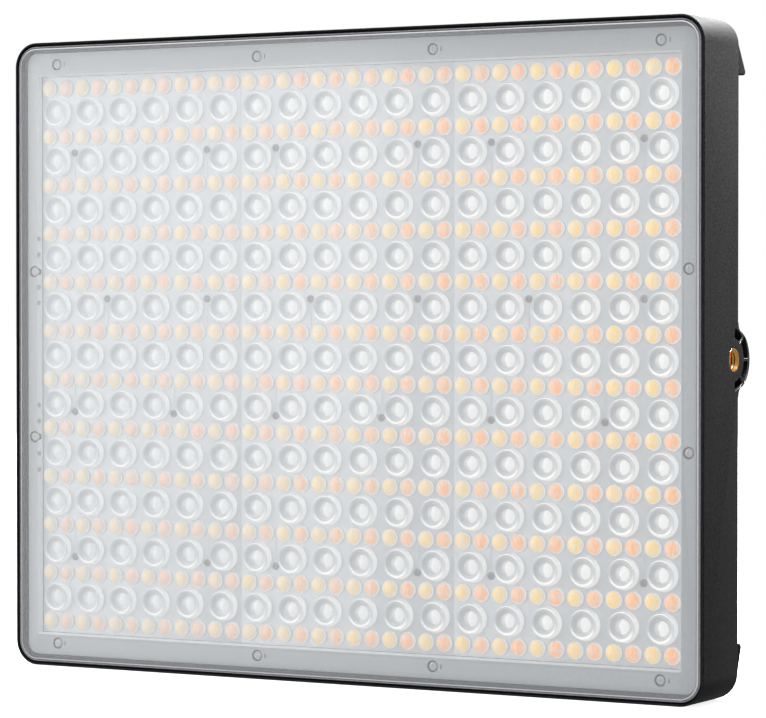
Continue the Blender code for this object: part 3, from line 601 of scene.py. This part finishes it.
def mount_outline():
    """The round boss at a side mount, with fillets where it meets the back."""
    depth = SHELL_DEPTH + BOSS_FILLET
    height = sqrt((BOSS_RADIUS + BOSS_FILLET) ** 2 - (depth - BOSS_DEPTH) ** 2)
    meet = degrees(atan2(height, depth - BOSS_DEPTH))
    upper = arc((depth, height), BOSS_FILLET, 180, 180 + meet, 7)
    lower = arc((depth, -height), BOSS_FILLET, 180 - meet, 180, 7)
    disc = arc((BOSS_DEPTH, 0), BOSS_RADIUS, meet, -meet, 40)
    inside = SHELL_DEPTH - 1
    return [(inside, height), *upper, *disc[1:-1], *lower, (inside, -height)]


def add_pocket(body, side, angle, inner, outer):
    """A locking pocket between two ribs of constant width, with soft corners and a chamfered mouth."""
    points = []
    for radius, way in ((inner, 1), (outer, -1)):
        half = 22.5 - degrees(asin(POCKET_RIB / 2 / radius))
        points += arc((MOUNT_DEPTH, 0), radius, angle - way * half, angle + way * half, 8)
    turn, middle = radians(angle), (inner + outer) / 2
    spot = (MOUNT_DEPTH + middle * cos(turn), middle * sin(turn))
    corners = {0, 8, 9, 17}
    soft = []
    for index, point in enumerate(points):
        if index not in corners:
            soft.append(point)
            continue
        ends = []
        for other in (points[index - 1], points[(index + 1) % len(points)]):
            step = Vector(other) - Vector(point)
            ends.append(Vector(point) + step.normalized() * min(0.4, step.length * 0.45))
        soft += [tuple(ends[0]), tuple((ends[0] + ends[1]) * 0.35 + Vector(point) * 0.3), tuple(ends[1])]
    floor, face, mouth = WIDTH / 2 - POCKET_FLOOR, WIDTH / 2 - 0.25, WIDTH / 2 + 2
    layers = [(side * floor, 0.97), (side * (floor + 0.2), 1), (side * face, 1), (side * mouth, 1.5)]
    prism(body, soft, layers, spot)


def shell_body():
    lip, back = 0.35, 0.8
    layers = [(WALL, BACK_INSIDE), (WALL, LEDGE), (LIP, LEDGE), (LIP, lip)]
    layers += arc((LIP - lip, lip), lip, 0, -90, 4)[1:] + arc((lip, lip), lip, -90, -180, 4)
    layers += arc((back, SHELL_DEPTH - back), back, 180, 90, 4)
    body = bmesh.new()
    loft(body, [inset_ring(inset, depth) for inset, depth in layers])
    return body


def make_shell(finish, rim):
    discs, pockets, bores, seats = bmesh.new(), bmesh.new(), bmesh.new(), bmesh.new()
    for side in (-1, 1):
        face = side * (WIDTH / 2 - 0.1)
        root = face - side * 12
        layers = [(root, 1), (face - side * 0.5, 1), (face - side * 0.15, 0.99), (face, 0.965)]
        prism(discs, mount_outline(), layers, (BOSS_DEPTH, 0))
        for body, radius, half, inset in ((seats, 7.5, 5.5, 6.5), (bores, 4.8, 5.6, 4.8)):
            rod = [(0, -half), (radius, -half), (radius, half), (0, half)]
            lathe(body, rod, at(side * (WIDTH / 2 - inset), MOUNT_DEPTH, 0), "X")
        for angle, inner, outer in POCKETS:
            add_pocket(pockets, side, angle, inner, outer)
    window = bmesh.new()
    through = (SHELL_DEPTH - 6, SHELL_DEPTH + 2)
    soft_slab(window, CONTROL_WINDOW, 4, 0.1, *through, 0, CONTROL_HEIGHT)
    item = helper(shell_body(), "housing")
    carve(item, [
        ("UNION", discs),
        ("UNION", seats),
        ("DIFFERENCE", bores),
        ("DIFFERENCE", pockets),
        ("DIFFERENCE", window),
        ("DIFFERENCE", vent_cutters()),
    ])
    item.data.materials.clear()
    item.data.materials.append(finish)
    item.data.materials.append(rim)
    # The chamfered pocket mouths on the bosses get a lighter grey: a painted highlight.
    for face in item.data.polygons:
        x, depth, height = panel_terms(face.center)
        on_boss = hypot(depth - BOSS_DEPTH, height) < BOSS_RADIUS - 0.3
        chamfer = 0.2 < abs(face.normal.x) < 0.97
        if on_boss and chamfer and abs(x) > WIDTH / 2 - 0.27:
            face.material_index = 1
    settle(item, "panel", ("rear_shell", "side_mount_left", "side_mount_right"))


def slot_cutter(body, length, x, height):
    """A round-ended upright slot through the back wall."""
    through = (SHELL_DEPTH - 4, SHELL_DEPTH + 2)
    soft_slab(body, (SLOT_WIDTH, length), SLOT_WIDTH / 2 - 0.02, 0.05, *through, x, height, 4)


def vent_cutters():
    body = bmesh.new()
    for index in range(-5, 6):
        across = index * 4.4
        chord = 2 * sqrt(GRILLE_RADIUS**2 - across**2)
        if chord > 2 * SLOT_WIDTH:
            slot_cutter(body, chord, across, GRILLE_HEIGHT)
    for side in (-1, 1):
        for level in (-1, 1):
            for index in range(-4, 5):
                slot_cutter(body, 26, side * SIDE_GROUP + index * 5.2, level * VENT_HEIGHT)
    return body


def make_inserts(finish):
    """Brass inserts with a chamfered mouth and the thread's grooves down the bore."""
    pitch, crest, root, length = 1.27, 3.1, 3.55, 9.5
    profile = [(4.5, 0), (4.6, 0.1), (4.6, length - 0.15), (4.45, length)]
    profile += [(4.1, length), (3.95, length - 0.1), (crest + 0.2, length - 0.9)]
    along = length - 1.0
    while along > pitch:
        profile += [(crest, along), (crest, along - pitch * 0.15), (root, along - pitch * 0.5)]
        profile.append((crest, along - pitch * 0.87))
        along -= pitch
    profile.append((crest, 0))
    for side, label in ((-1, "left"), (1, "right")):
        body = bmesh.new()
        turned = [(radius, side * place) for radius, place in profile]
        lathe(body, turned, at(side * (WIDTH / 2 - length), MOUNT_DEPTH, 0), "X", 48, close=True)
        name = f"threaded_insert_{label}"
        piece(f"{name}_turned", body, finish, "panel", name, 50)


def make_feet(finish):
    for place in ("top_left", "top_right", "bottom_left", "bottom_right"):
        softened(f"corner_foot_{place}", f"foot_{place}", finish, 0.45)


# Light field


def make_cover(sheet, bevel, edge):
    """The clear cover: a flat sheet whose front edge is bevelled. Its flat faces and its edges differ."""
    inset = (WIDTH - span("front_cover")[4]) / 2
    layers = [(inset + 0.5, 0.0), (inset + 0.3, 0.06), (inset + 0.04, 0.28)]
    layers += [(inset, 0.45), (inset, 2.05), (inset + 0.15, 2.2)]
    body = bmesh.new()
    loft(body, [inset_ring(i, depth) for i, depth in layers], slots=[1, 1, 1, 2, 2])
    for face in body.faces:
        if len(face.verts) > 4:
            face.material_index = 0
    piece("clear_cover_sheet", body, (sheet, bevel, edge), "panel", "front_cover", 20)


def make_gasket(finish):
    _, _, front, back, wide, _ = span("cover_gasket")
    outer, inner = (WIDTH - wide) / 2, 2.05
    layers = [(outer, back), (outer, front + 0.1), (outer + 0.1, front)]
    layers += [(inner - 0.1, front), (inner, front + 0.1), (inner, back)]
    body = bmesh.new()
    loft(body, [inset_ring(inset, depth) for inset, depth in layers], close=True)
    piece("gasket_strip", body, finish, "panel", "cover_gasket", 40)


FRAME_SCREWS = [
    (sx * x, sz * z)
    for x, z in ((137, 119.4), (40, 119.4), (148.5, 34.2))
    for sz in (1, -1)
    for sx in (-1, 1)
]


def make_frame(finish, painted_bright, shade):
    """The retaining frame: a rounded border with a raised bead along its window. The bead takes the lens
    plates' material for a painted highlight and glow, and the screw pockets get painted shade.
    """
    outer = [size / 2 for size in span("retaining_frame")[4:]]
    window = (FIELD_HALF_WIDTH + 0.3, FIELD_HALF_HEIGHT + 0.3)
    front, back = 2.5, 5.3
    edge = ((0.1, back), (0, back - 0.1), (0, 3.0), (0.12, 2.7), (0.45, 2.55))
    bead = ((-1.2, 2.65), (-0.8, front), (-0.35, front), (-0.05, 2.75), (0.02, 3.1), (0.4, back))
    rings = slab_rings(outer, 4.6, 6, edge, 0, 0)
    seen = slab_rings(window, 0.3, 6, bead, 0, 0, 0.15)
    rings += [[SEEN_FIELD @ point for point in ring] for ring in seen]
    body = bmesh.new()
    # The bead's three bands take the lens plates' material: a painted highlight.
    loft(body, rings, close=True, slots=[0] * 7 + [1] * 3 + [0])
    item = helper(body, "frame_border")
    for each in (finish, painted_bright, shade):
        item.data.materials.append(each)
    pockets, marks = bmesh.new(), bmesh.new()
    profile = [(0, 4.6), (2.3, 4.6), (2.35, 2.6), (2.45, 2.3), (0, 2.3)]
    for x, height in FRAME_SCREWS:
        lathe(pockets, profile, at(x, 0, height), "Y", 28)
        if x < -145:
            for offset in (13.6, 7.0, -6.5, -13.0):
                level = height + copysign(offset, offset * height)
                box(marks, (x + 1.2, 2, level - 0.9), (x + 2.2, 4.2, level + 0.9))
        elif x < 145:
            box(marks, (x + 3.4, 2, height - 0.9), (x + 4.0, 3.6, height + 0.9))
    carve(item, [("DIFFERENCE", pockets), ("DIFFERENCE", marks)])
    # Faces inside the screw pockets get painted shade.
    for face in item.data.polygons:
        x, depth, height = panel_terms(face.center)
        in_pocket = any(hypot(x - sx, height - sz) < 2.4 for sx, sz in FRAME_SCREWS)
        if in_pocket and front + 0.2 < depth < back:
            face.material_index = 2
    settle(item, "panel", "retaining_frame")


def screw_mesh(name, radius, height, finish):
    """A pan head with a cross recess, facing -Y, whose seat is at its origin."""
    profile = [(0, 0), (radius, 0), (radius, -height * 0.35), (radius * 0.93, -height * 0.7)]
    profile += [(radius * 0.72, -height * 0.93), (radius * 0.4, -height), (0, -height)]
    body = bmesh.new()
    lathe(body, profile, Vector(), "Y", 28)
    item = helper(body, name, 30)
    bars = []
    for wide, tall in ((0.24, 1.15), (1.15, 0.24)):
        bar = bmesh.new()
        size = Matrix.Diagonal((wide * radius * MM, height * MM, tall * radius * MM, 1))
        bmesh.ops.create_cube(bar, size=1, matrix=Matrix.Translation((0, -height * MM, 0)) @ size)
        bars.append(("DIFFERENCE", bar))
    carve(item, bars)
    mesh = item.data
    bpy.data.objects.remove(item)
    mesh.materials.clear()
    mesh.materials.append(finish)
    return mesh


def make_frame_screws(finish):
    mesh = screw_mesh("frame_screw_head", 1.75, 1.0, finish)
    for index, (x, height) in enumerate(FRAME_SCREWS, 1):
        item = add_object(f"frame_screw_{index:02d}_head", mesh)
        item.location = at(x, 3.7, height)
        settle(item, "panel", f"frame_screw_{index:02d}")


LENS_PROFILE = [
    # (radius, depth, finish of the band that starts here)
    (6.50, 5.62, 0), (6.32, 5.48, 1), (6.18, 5.15, 1), (5.72, 3.15, 2), (5.42, 2.72, 3), (4.62, 3.04, 4),
    (4.40, 3.50, 4), (3.95, 3.92, 4), (3.35, 4.18, 4), (2.95, 4.28, 5), (2.65, 4.06, 5), (2.05, 3.78, 5),
    (1.10, 3.60, 5), (0.00, 3.56, 5),
]
DOME_PROFILE = [
    (3.70, 5.62), (3.64, 5.28), (3.50, 5.00), (3.26, 4.74), (2.50, 4.40), (1.40, 4.22), (0.0, 4.16),
]
# Screw posts on each plate: the height, and the gaps between lens columns that hold them
POSTS = ((83.4, (0, 4)), (23.3, (1, 4)), (-23.2, (0, 3)), (-83.2, (0, 4)))


def add_lens(body, x, height):
    profile = [layer[:2] for layer in LENS_PROFILE]
    lathe(body, profile, at(x, 0, height), "Y", LENS_STEPS, slots=[layer[2] for layer in LENS_PROFILE])


def add_dome(body, x, height, colour):
    slots = [0, 0, 1] + [colour] * (len(DOME_PROFILE) - 4)
    lathe(body, DOME_PROFILE, at(x, 0, height), "Y", DOME_STEPS, slots=slots)


def make_lens_plates(finishes):
    """Three plates, each with 66 lenses over the white LEDs and 144 domes over the coloured ones."""
    screw = screw_mesh("plate_screw_head", 1.55, 0.8, finishes[-1])
    heads = bmesh.new()
    for label in ("left", "centre", "right"):
        middle, _, _, back, wide, tall = span(f"lens_plate_{label}")
        body = bmesh.new()
        size = (wide + 0.2, tall)
        soft_slab(body, size, 0.4, 0.06, PLATE_FRONT, back, middle, 0, 2, both=True)
        for column in range(COLUMNS):
            for row in range(ROWS):
                across = middle + (column - (COLUMNS - 1) / 2) * PITCH_X
                add_lens(body, across, (row - (ROWS - 1) / 2) * PITCH_Z)
        for column in range(2 * COLUMNS):
            for row in range(ROWS + 1):
                across = middle + (column - COLUMNS + 0.5) * PITCH_X / 2
                add_dome(body, across, (row - ROWS / 2) * PITCH_Z, 6 + column % 2)
        for height, gaps in POSTS:
            for gap in gaps:
                across = middle + (gap - COLUMNS / 2 + 1) * PITCH_X
                towards = -1 if height > 0 else 1
                near, far = sorted((height + towards * 2.5, height + towards * 11.5))
                box(body, (across - 0.4, 5.35, near), (across + 0.4, 5.7, far))
                add_screws(heads, screw, [(across, height)], PLATE_FRONT + 0.05, 0)
        bmesh.ops.transform(body, matrix=SEEN_FIELD, verts=body.verts)
        name = f"lens_plate_{label}"
        piece(f"{name}_moulded", body, finishes[:-1], "panel", name, 28)
    bmesh.ops.transform(heads, matrix=SEEN_FIELD, verts=heads.verts)
    piece("plate_screws", heads, finishes[-1])


# Back


def add_screws(body, mesh, places, depth, turn=pi):
    """Copies a screw head to each (x, height), turned to face the back or left to face the front."""
    for x, height in places:
        matrix = Matrix.Translation(at(x, depth, height)) @ Matrix.Rotation(turn, 4, "Z")
        start = len(body.verts)
        body.from_mesh(mesh)
        body.verts.ensure_lookup_table()
        bmesh.ops.transform(body, matrix=matrix, verts=body.verts[start:])


def make_back_screws(finish):
    mesh = screw_mesh("back_screw_head", 1.9, 0.7, finish)
    sides = (-1, 1)
    around = [(sx * x, sz * z) for x, z in ((146, 62), (62, 121)) for sx in sides for sz in sides]
    control = [(sx * 45, z) for sx in sides for z in (51, -71)]
    plates = [(s * SIDE_GROUP + sx * 13, z) for s in sides for sx in sides for z in (38, 2)]
    for name, places, depth in (
        ("housing", around, SHELL_DEPTH),
        ("control_panel", control, span("control_housing")[3]),
        ("battery_plate", plates, BATTERY_FLOOR),
    ):
        body = bmesh.new()
        add_screws(body, mesh, places, depth)
        piece(f"{name}_screws", body, finish)


def fluted_knob(label, finish, mark):
    """A knob with a plain skirt, a fluted grip, a dished top and a raised pointer dot."""
    flutes, steps = 28, 28 * 6
    middle, height, base = span(f"knob_{label}")[:3]
    layers = [
        # (radius, distance from the knob's foot, depth of the flutes)
        (3.3, 5.0, 0), (3.3, 0.0, 0), (9.2, 0.0, 0), (9.5, 0.25, 0), (9.5, 1.0, 0), (9.3, 1.2, 0.05),
        (9.15, 1.5, 0.3), (9.0, 3.5, 0.34), (8.85, 5.3, 0.3), (8.6, 5.75, 0.12), (8.2, 6.02, 0),
        (7.7, 6.1, 0), (7.1, 6.02, 0), (6.6, 5.72, 0), (3.0, 5.55, 0),
    ]
    body = bmesh.new()
    rings = []
    for radius, depth, cut in layers:
        ring = []
        for step in range(steps):
            angle = tau * step / steps
            reach = (radius - cut * (0.5 - 0.5 * cos(flutes * angle)) ** 1.5)
            across, up = reach * cos(angle), reach * sin(angle)
            ring.append(at(middle + across, base + depth, height + up))
        rings.append(ring)
    loft(body, rings)
    knob = f"knob_{label}"
    piece(f"{knob}_fluted", body, finish, knob, knob, 35)
    dot = bmesh.new()
    profile = [(0, 5.5), (0.75, 5.5), (0.75, 5.72), (0.6, 5.8), (0, 5.8)]
    lathe(dot, profile, at(middle, base, height + 4.9), "Y", 20)
    piece(f"{knob}_pointer", dot, mark, knob, ())


def make_button_marks(paint):
    """A raised mark on each key: a ring, three bars, a triangle and a dot."""
    top = span("button_mode")[3]
    low, high = top - 0.05, top + 0.12
    for name, (x, height) in KEYS.items():
        body = bmesh.new()
        if name == "mode":
            inner, outer = 1.25, 1.7
            profile = [(inner, low), (outer, low), (outer, high), (inner, high)]
            lathe(body, profile, at(x, 0, height), "Y", 28, close=True)
        elif name == "menu":
            for offset in (-1.2, 0, 1.2):
                size = (3.6, 0.5)
                soft_slab(body, size, 0.2, 0.03, low, high, x, height + offset, 3)
        elif name == "effect":
            ring = [(-1.5, -1.3), (1.5, -1.3), (0, 1.5)]
            loft(body, [[at(x + a, depth, height + b) for a, b in ring] for depth in (low, high)])
        else:
            profile = [(0, low), (1.1, low), (1.1, high), (0, high)]
            lathe(body, profile, at(x, 0, height), "Y", 28)
        piece(f"mark_{name}", body, paint, f"{name}_button", ())


def make_display(glass, bezel, screen):
    softened("display_window", "display_glass", glass, 0.15)
    middle, level, back, front, wide, tall = span("display_module")
    body = bmesh.new()
    soft_slab(body, (wide, tall), 0.5, 0.2, back, front - 0.1, middle, level, 3)
    piece("display_frame", body, bezel, "panel", "display_module")
    body = bmesh.new()
    size = (40, 24)
    soft_slab(body, size, 0.6, 0.05, front - 0.3, front, middle, level, 3)
    piece("display_screen", body, screen)


def make_contacts(gold, base):
    """Each battery terminal: a black block with four sprung gold fingers."""
    for label in ("left", "right"):
        node = f"battery_contacts_{label}"
        middle, level, front, back, wide, tall = span(node)
        body = bmesh.new()
        soft_slab(body, (wide, tall), 0.6, 0.2, front, back, middle, level, 3)
        for face in body.faces:
            face.material_index = 1
        start = len(body.faces)
        finger, layer = (2.4, 5.6), (back - 0.2, back + 0.3)
        profile = [(1.3, 0), (1.25, 0.35), (1.0, 0.75), (0.6, 1.0), (0, 1.1)]
        points = [(0, back)] + [(radius, back + 0.2 + depth) for radius, depth in profile]
        for index in range(4):
            across = middle + (index - 1.5) * 5
            soft_slab(body, finger, 0.4, 0.2, *layer, across, level, 3)
            lathe(body, points, at(across, 0, level), "Y", 20)
        body.faces.ensure_lookup_table()
        for face in body.faces[start:]:
            face.material_index = 0
        piece(f"battery_terminal_{label}", body, (gold, base), "panel", node)


def tube(body, points, radius):
    """A round wire along points, with closed ends."""
    sides = 8
    rings = []
    normal = None
    for index, point in enumerate(points):
        before, after = points[max(index - 1, 0)], points[min(index + 1, len(points) - 1)]
        along = (after - before).normalized()
        if normal is None:
            normal = along.orthogonal().normalized()
        normal = (normal - along * normal.dot(along)).normalized()
        across = along.cross(normal)
        turns = [tau * k / sides for k in range(sides)]
        rings.append([point + (normal * cos(a) + across * sin(a)) * radius for a in turns])
    loft(body, rings)


def make_springs(finish):
    """The latches' springs: coils with a closed end turn at each end."""
    for label in ("left", "right"):
        low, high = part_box(f"latch_spring_{label}")
        middle = (low + high) / 2
        wire, coil, turns, around = 0.3 * MM, 1.5 * MM, 5, 18
        bottom, top = low.z + wire, high.z - wire
        points = []
        for step in range(turns * around + 1):
            angle = tau * step / around
            share = min(max((step / around - 0.75) / (turns - 1.5), 0), 1)
            height = bottom + (top - bottom) * share
            across, depth = coil * cos(angle), coil * sin(angle)
            points.append(Vector((middle.x + across, middle.y + depth, height)))
        body = bmesh.new()
        tube(body, points, wire)
        item = piece(f"latch_coil_{label}", body, finish, "panel", f"latch_spring_{label}", 50)
        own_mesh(item)


def make_latches(finish):
    for label in ("left", "right"):
        node, latch = f"battery_latch_{label}", f"latch_{label}"
        softened(node, f"{latch}_button", finish, 0.3, latch)
        middle, _, _, top, _, _ = span(node)
        body = bmesh.new()
        size, layer = (11, 0.6), (top - 0.1, top + 0.3)
        for index in range(4):
            level = LATCH_RIDGE + index * 1.4
            soft_slab(body, size, 0.25, 0.12, *layer, middle, level, 3)
        piece(f"{latch}_ridges", body, finish, latch, ())


def make_fan(finish):
    """The rotor: a cupped hub and seven cambered blades that twist towards their tips."""
    _, _, front, back, wide, _ = span("fan_rotor")
    low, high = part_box("fan_rotor")
    middle, half = (low + high) / 2, (back - front) / 2
    body = bmesh.new()
    profile = [(0, half), (8.6, half), (10.1, half - 0.15), (10.5, half - 0.6), (10.5, 0.2 - half)]
    profile += [(10.3, -half), (8.8, -half), (8.8, half - 1.2), (0, half - 1.2)]
    lathe(body, profile, middle, "Y", 48)
    reach, root, limit = wide / 2 - 0.05, 10.2, half - 0.4
    radial, chordwise, blades = 6, 8, 7
    for index in range(blades):
        grid = []
        for i in range(radial + 1):
            share = i / radial
            radius = root + (reach - root) * share
            pitch = radians(42 - 14 * share)
            chord = 8.2 + 1.6 * share
            for j in range(chordwise + 1):
                along = j / chordwise - 0.5
                camber = 0.55 * (1 - 4 * along * along)
                swing = tau * index / blades + 0.18 * share + along * chord * cos(pitch) / radius
                depth = along * chord * sin(pitch) * 0.92 + camber * cos(pitch)
                depth = max(min(depth, limit), -limit)
                grid.append((radius * cos(swing) * MM, depth, radius * sin(swing) * MM))
        front, rear = (
            [body.verts.new(middle + Vector((x, (depth + thick) * MM, z))) for x, depth, z in grid]
            for thick in (-0.35, 0.35)
        )
        across = chordwise + 1
        for i in range(radial):
            for j in range(chordwise):
                a, b = i * across + j, i * across + j + 1
                c, d = b + across, a + across
                body.faces.new([front[k] for k in (a, b, c, d)])
                body.faces.new([rear[k] for k in (d, c, b, a)])
        rim = list(range(across)) + [i * across + chordwise for i in range(1, radial + 1)]
        rim += [radial * across + j for j in range(chordwise - 1, -1, -1)]
        rim += [i * across for i in range(radial - 1, 0, -1)]
        for a, b in zip(rim, rim[1:] + rim[:1]):
            body.faces.new((front[a], front[b], rear[b], rear[a]))
    piece("fan_impeller", body, finish, "fan", "fan_rotor", 40)


# Studio


def add_light(name, place, target, size, power):
    data = bpy.data.lights.new(name, "AREA")
    data.shape = "RECTANGLE"
    data.size, data.size_y = size
    data.energy = power
    item = add_object(name, data)
    item.location = place
    item.rotation_euler = (target - place).to_track_quat("-Z", "Y").to_euler()


def make_floor():
    finish = grained("floor_paper", (0.93, 0.93, 0.93), 0.9, 60, 0.05, 0.01)
    shader = finish.node_tree.nodes["Principled BSDF"]
    shader.inputs["Emission Color"].default_value = (1, 1, 1, 1)
    shader.inputs["Emission Strength"].default_value = 0.84
    reach, level = 9.0, cad_low.z - 0.2 * MM
    corners = [(-reach, -reach), (reach, -reach), (reach, reach), (-reach, reach)]
    mesh = bpy.data.meshes.new("studio_floor")
    mesh.from_pydata([(x, y, level) for x, y in corners], [], [(0, 1, 2, 3)])
    mesh.materials.append(finish)
    item = add_object("studio_floor", mesh)
    item.visible_diffuse = False
    item.visible_glossy = False


def make_studio():
    scene = bpy.context.scene
    scene.view_settings.view_transform = "Standard"
    scene.view_settings.look = "None"
    world = bpy.data.worlds.new("studio")
    world.use_nodes = True
    scene.world = world
    nodes, links = world.node_tree.nodes, world.node_tree.links
    fill, backdrop = nodes["Background"], nodes.new("ShaderNodeBackground")
    for node, strength in ((fill, 0.38), (backdrop, 1.0)):
        node.inputs["Color"].default_value = (1, 1, 1, 1)
        node.inputs["Strength"].default_value = strength
    seen = nodes.new("ShaderNodeLightPath")
    mix = nodes.new("ShaderNodeMixShader")
    links.new(seen.outputs["Is Camera Ray"], mix.inputs[0])
    links.new(fill.outputs[0], mix.inputs[1])
    links.new(backdrop.outputs[0], mix.inputs[2])
    links.new(mix.outputs[0], nodes["World Output"].inputs[0])

    centre = at(0, 15, 0)
    turn = radians(46)
    left = centre + Vector((-sin(turn) * 1.8, -cos(turn) * 1.8, 0.15))
    add_light("left_softbox", left, centre, (1.2, 1.6), 21)
    add_light("top_softbox", centre + Vector((0.1, -0.2, 2.6)), centre, (2.6, 2.6), 70)
    strip = centre + Vector((0.25, 0.13, 0.38))
    add_light("right_strip", strip, centre + Vector((0.15, 0, 0.12)), (0.16, 0.16), 9)
    add_light("rear_softbox", centre + Vector((-0.9, 1.9, 0.8)), centre, (1.4, 1.0), 40)

    data = bpy.data.cameras.new("camera")
    data.lens = 158.75
    data.sensor_width = 36
    data.clip_end = 50
    camera = add_object("camera", data)
    camera.location = centre + Vector((0.67172, -1.15606, 0.02381))
    camera.rotation_euler = (radians(90 - 1.056), 0, radians(29.755))
    scene.camera = camera


# Everything


def make_front():
    # The way that the clear mouldings are painted brighter towards: faces turned to it get painted light.
    painted_light_way = (1, 0, -0.55)
    plate = clear_moulding("plate_plastic", tone(204, 208, 212), tone(222, 225, 228), painted_light_way, 0.22, 0.3)
    cone = clear_moulding("lens_flank", tone(184, 190, 196), tone(254, 254, 252), painted_light_way, 0.42, 0.25)
    ring = lens_lip("lens_ring", tone(222, 224, 226), tone(254, 254, 253), (0.15, 0.6), 0.45, both=True)
    lip = lens_lip("lens_lip", tone(204, 206, 208), tone(254, 254, 252), (0.04, 0.26), 0.45)
    dish = clear_moulding("lens_dish", tone(214, 215, 216), tone(200, 202, 204), (1, 0, 0.3), 0.27)
    core = bright_core("lens_core", tone(204, 205, 206), tone(252, 251, 248), 0.48)
    yellow = phosphor_dome("yellow_dome", tone(252, 214, 124), tone(222, 215, 204), 0.56)
    orange = phosphor_dome("orange_dome", tone(254, 180, 110), tone(222, 212, 205), 0.56)
    screws = satin("screw_plating", tone(184, 186, 188), 0.4)
    make_lens_plates((plate, cone, ring, lip, dish, core, yellow, orange, screws))
    border = grained("frame_plastic", tone(212, 216, 219), 0.5, 900, 0.02, 0.04)
    make_frame(border, plate, grained("pocket_shade", tone(118, 120, 124), 0.6, 900, 0.02, 0.1))
    make_frame_screws(satin("frame_screw_plating", tone(236, 237, 238), 0.25))
    make_gasket(grained("gasket_foam", tone(150, 150, 156), 0.9, 2500, 0.08, 0.35))
    sheet = haze_sheet()
    # The cover's bevel is painted bright with a glow as a highlight; its side is a darker grey.
    bevel = cover_edge("cover_bevel", tone(224, 227, 230), 0.8, 0.3)
    edge = cover_edge("cover_side", tone(140, 142, 148), 0.5, 0.0)
    make_cover(sheet, bevel, edge)


def make_back():
    housing = grained("housing_plastic", tone(28, 28, 28), 0.62, 1300, 0.05, 0.6, 0.14)
    # A lighter grey for the side pockets' mouths, as a painted highlight.
    rim = grained("pocket_rim_painted_highlight", tone(96, 96, 98), 0.4, 1300, 0.02, 0.2)
    panel = grained("panel_plastic", tone(36, 36, 38), 0.45, 2400, 0.03, 0.2)
    black = satin("gloss_black", tone(24, 24, 26), 0.28)
    grey = satin("grey_plastic", tone(92, 92, 96), 0.45)
    keys = grained("button_rubber", tone(74, 74, 78), 0.6, 2600, 0.02, 0.12)
    knobs = satin("knob_plastic", tone(32, 32, 34), 0.42)
    paint = satin("mark_paint", tone(214, 216, 218), 0.5)
    steel = metal("steel", (0.55, 0.55, 0.56), 0.32)
    brass = metal("brass", (0.82, 0.44, 0.14), 0.24, (14, 1, 1))
    gold = metal("gold_contacts", (0.83, 0.65, 0.3), 0.28)
    rubber = grained("foot_rubber", tone(20, 20, 20), 0.8, 2000, 0.04, 0.4, 0.1)
    make_shell(housing, rim)
    make_inserts(brass)
    make_feet(rubber)
    softened("control_housing", "control_cover", panel, 0.35)
    for label in ("left", "right"):
        softened(f"battery_plate_{label}", f"battery_bay_{label}", panel, 0.25)
    make_latches(grey)
    make_springs(steel)
    make_contacts(gold, black)
    make_back_screws(metal("black_screw", (0.06, 0.06, 0.065), 0.4))
    for label in ("left", "right"):
        fluted_knob(label, knobs, paint)
    for name in KEYS:
        softened(f"button_{name}", f"key_{name}", keys, 0.3, f"{name}_button")
    make_button_marks(paint)
    glass = satin("smoked_window", tone(12, 12, 14), 0.06)
    glass.node_tree.nodes["Principled BSDF"].inputs["Alpha"].default_value = 0.55
    make_display(glass, black, satin("screen", tone(58, 66, 66), 0.3))
    softened("switch_housing", "switch_bezel", black, 0.2)
    softened("switch_rocker", "switch_paddle", black, 0.3, "power_rocker")
    softened("dc_inlet", "power_inlet", black, 0.2)
    softened("usb_port", "data_port", steel, 0.08)
    fan = satin("fan_plastic", tone(28, 28, 29), 0.4)
    make_fan(fan)
    dress(fan, "fan_housing")
    board = grained("green_board", tone(24, 92, 48), 0.35, 420, 0.02, 0.3)
    dress(board, "control_board", "driver_board")
    dress(grained("white_board", tone(226, 228, 226), 0.4, 420, 0.02, 0.05), "led_board")
    dress(grained("thermal_pad", tone(150, 156, 164), 0.85, 900, 0.03, 0.1), "thermal_pad")
    dress(metal("heat_sink_aluminium", (0.75, 0.76, 0.77), 0.38, (1, 1, 0.05)), "heat_sink")
    dress(satin("lead_jacket", tone(26, 26, 26), 0.5), "control_lead")
    dress(steel, "encoder_left", "encoder_right", "encoder_shaft_left", "encoder_shaft_right")


make_front()
make_back()
make_floor()
make_studio()
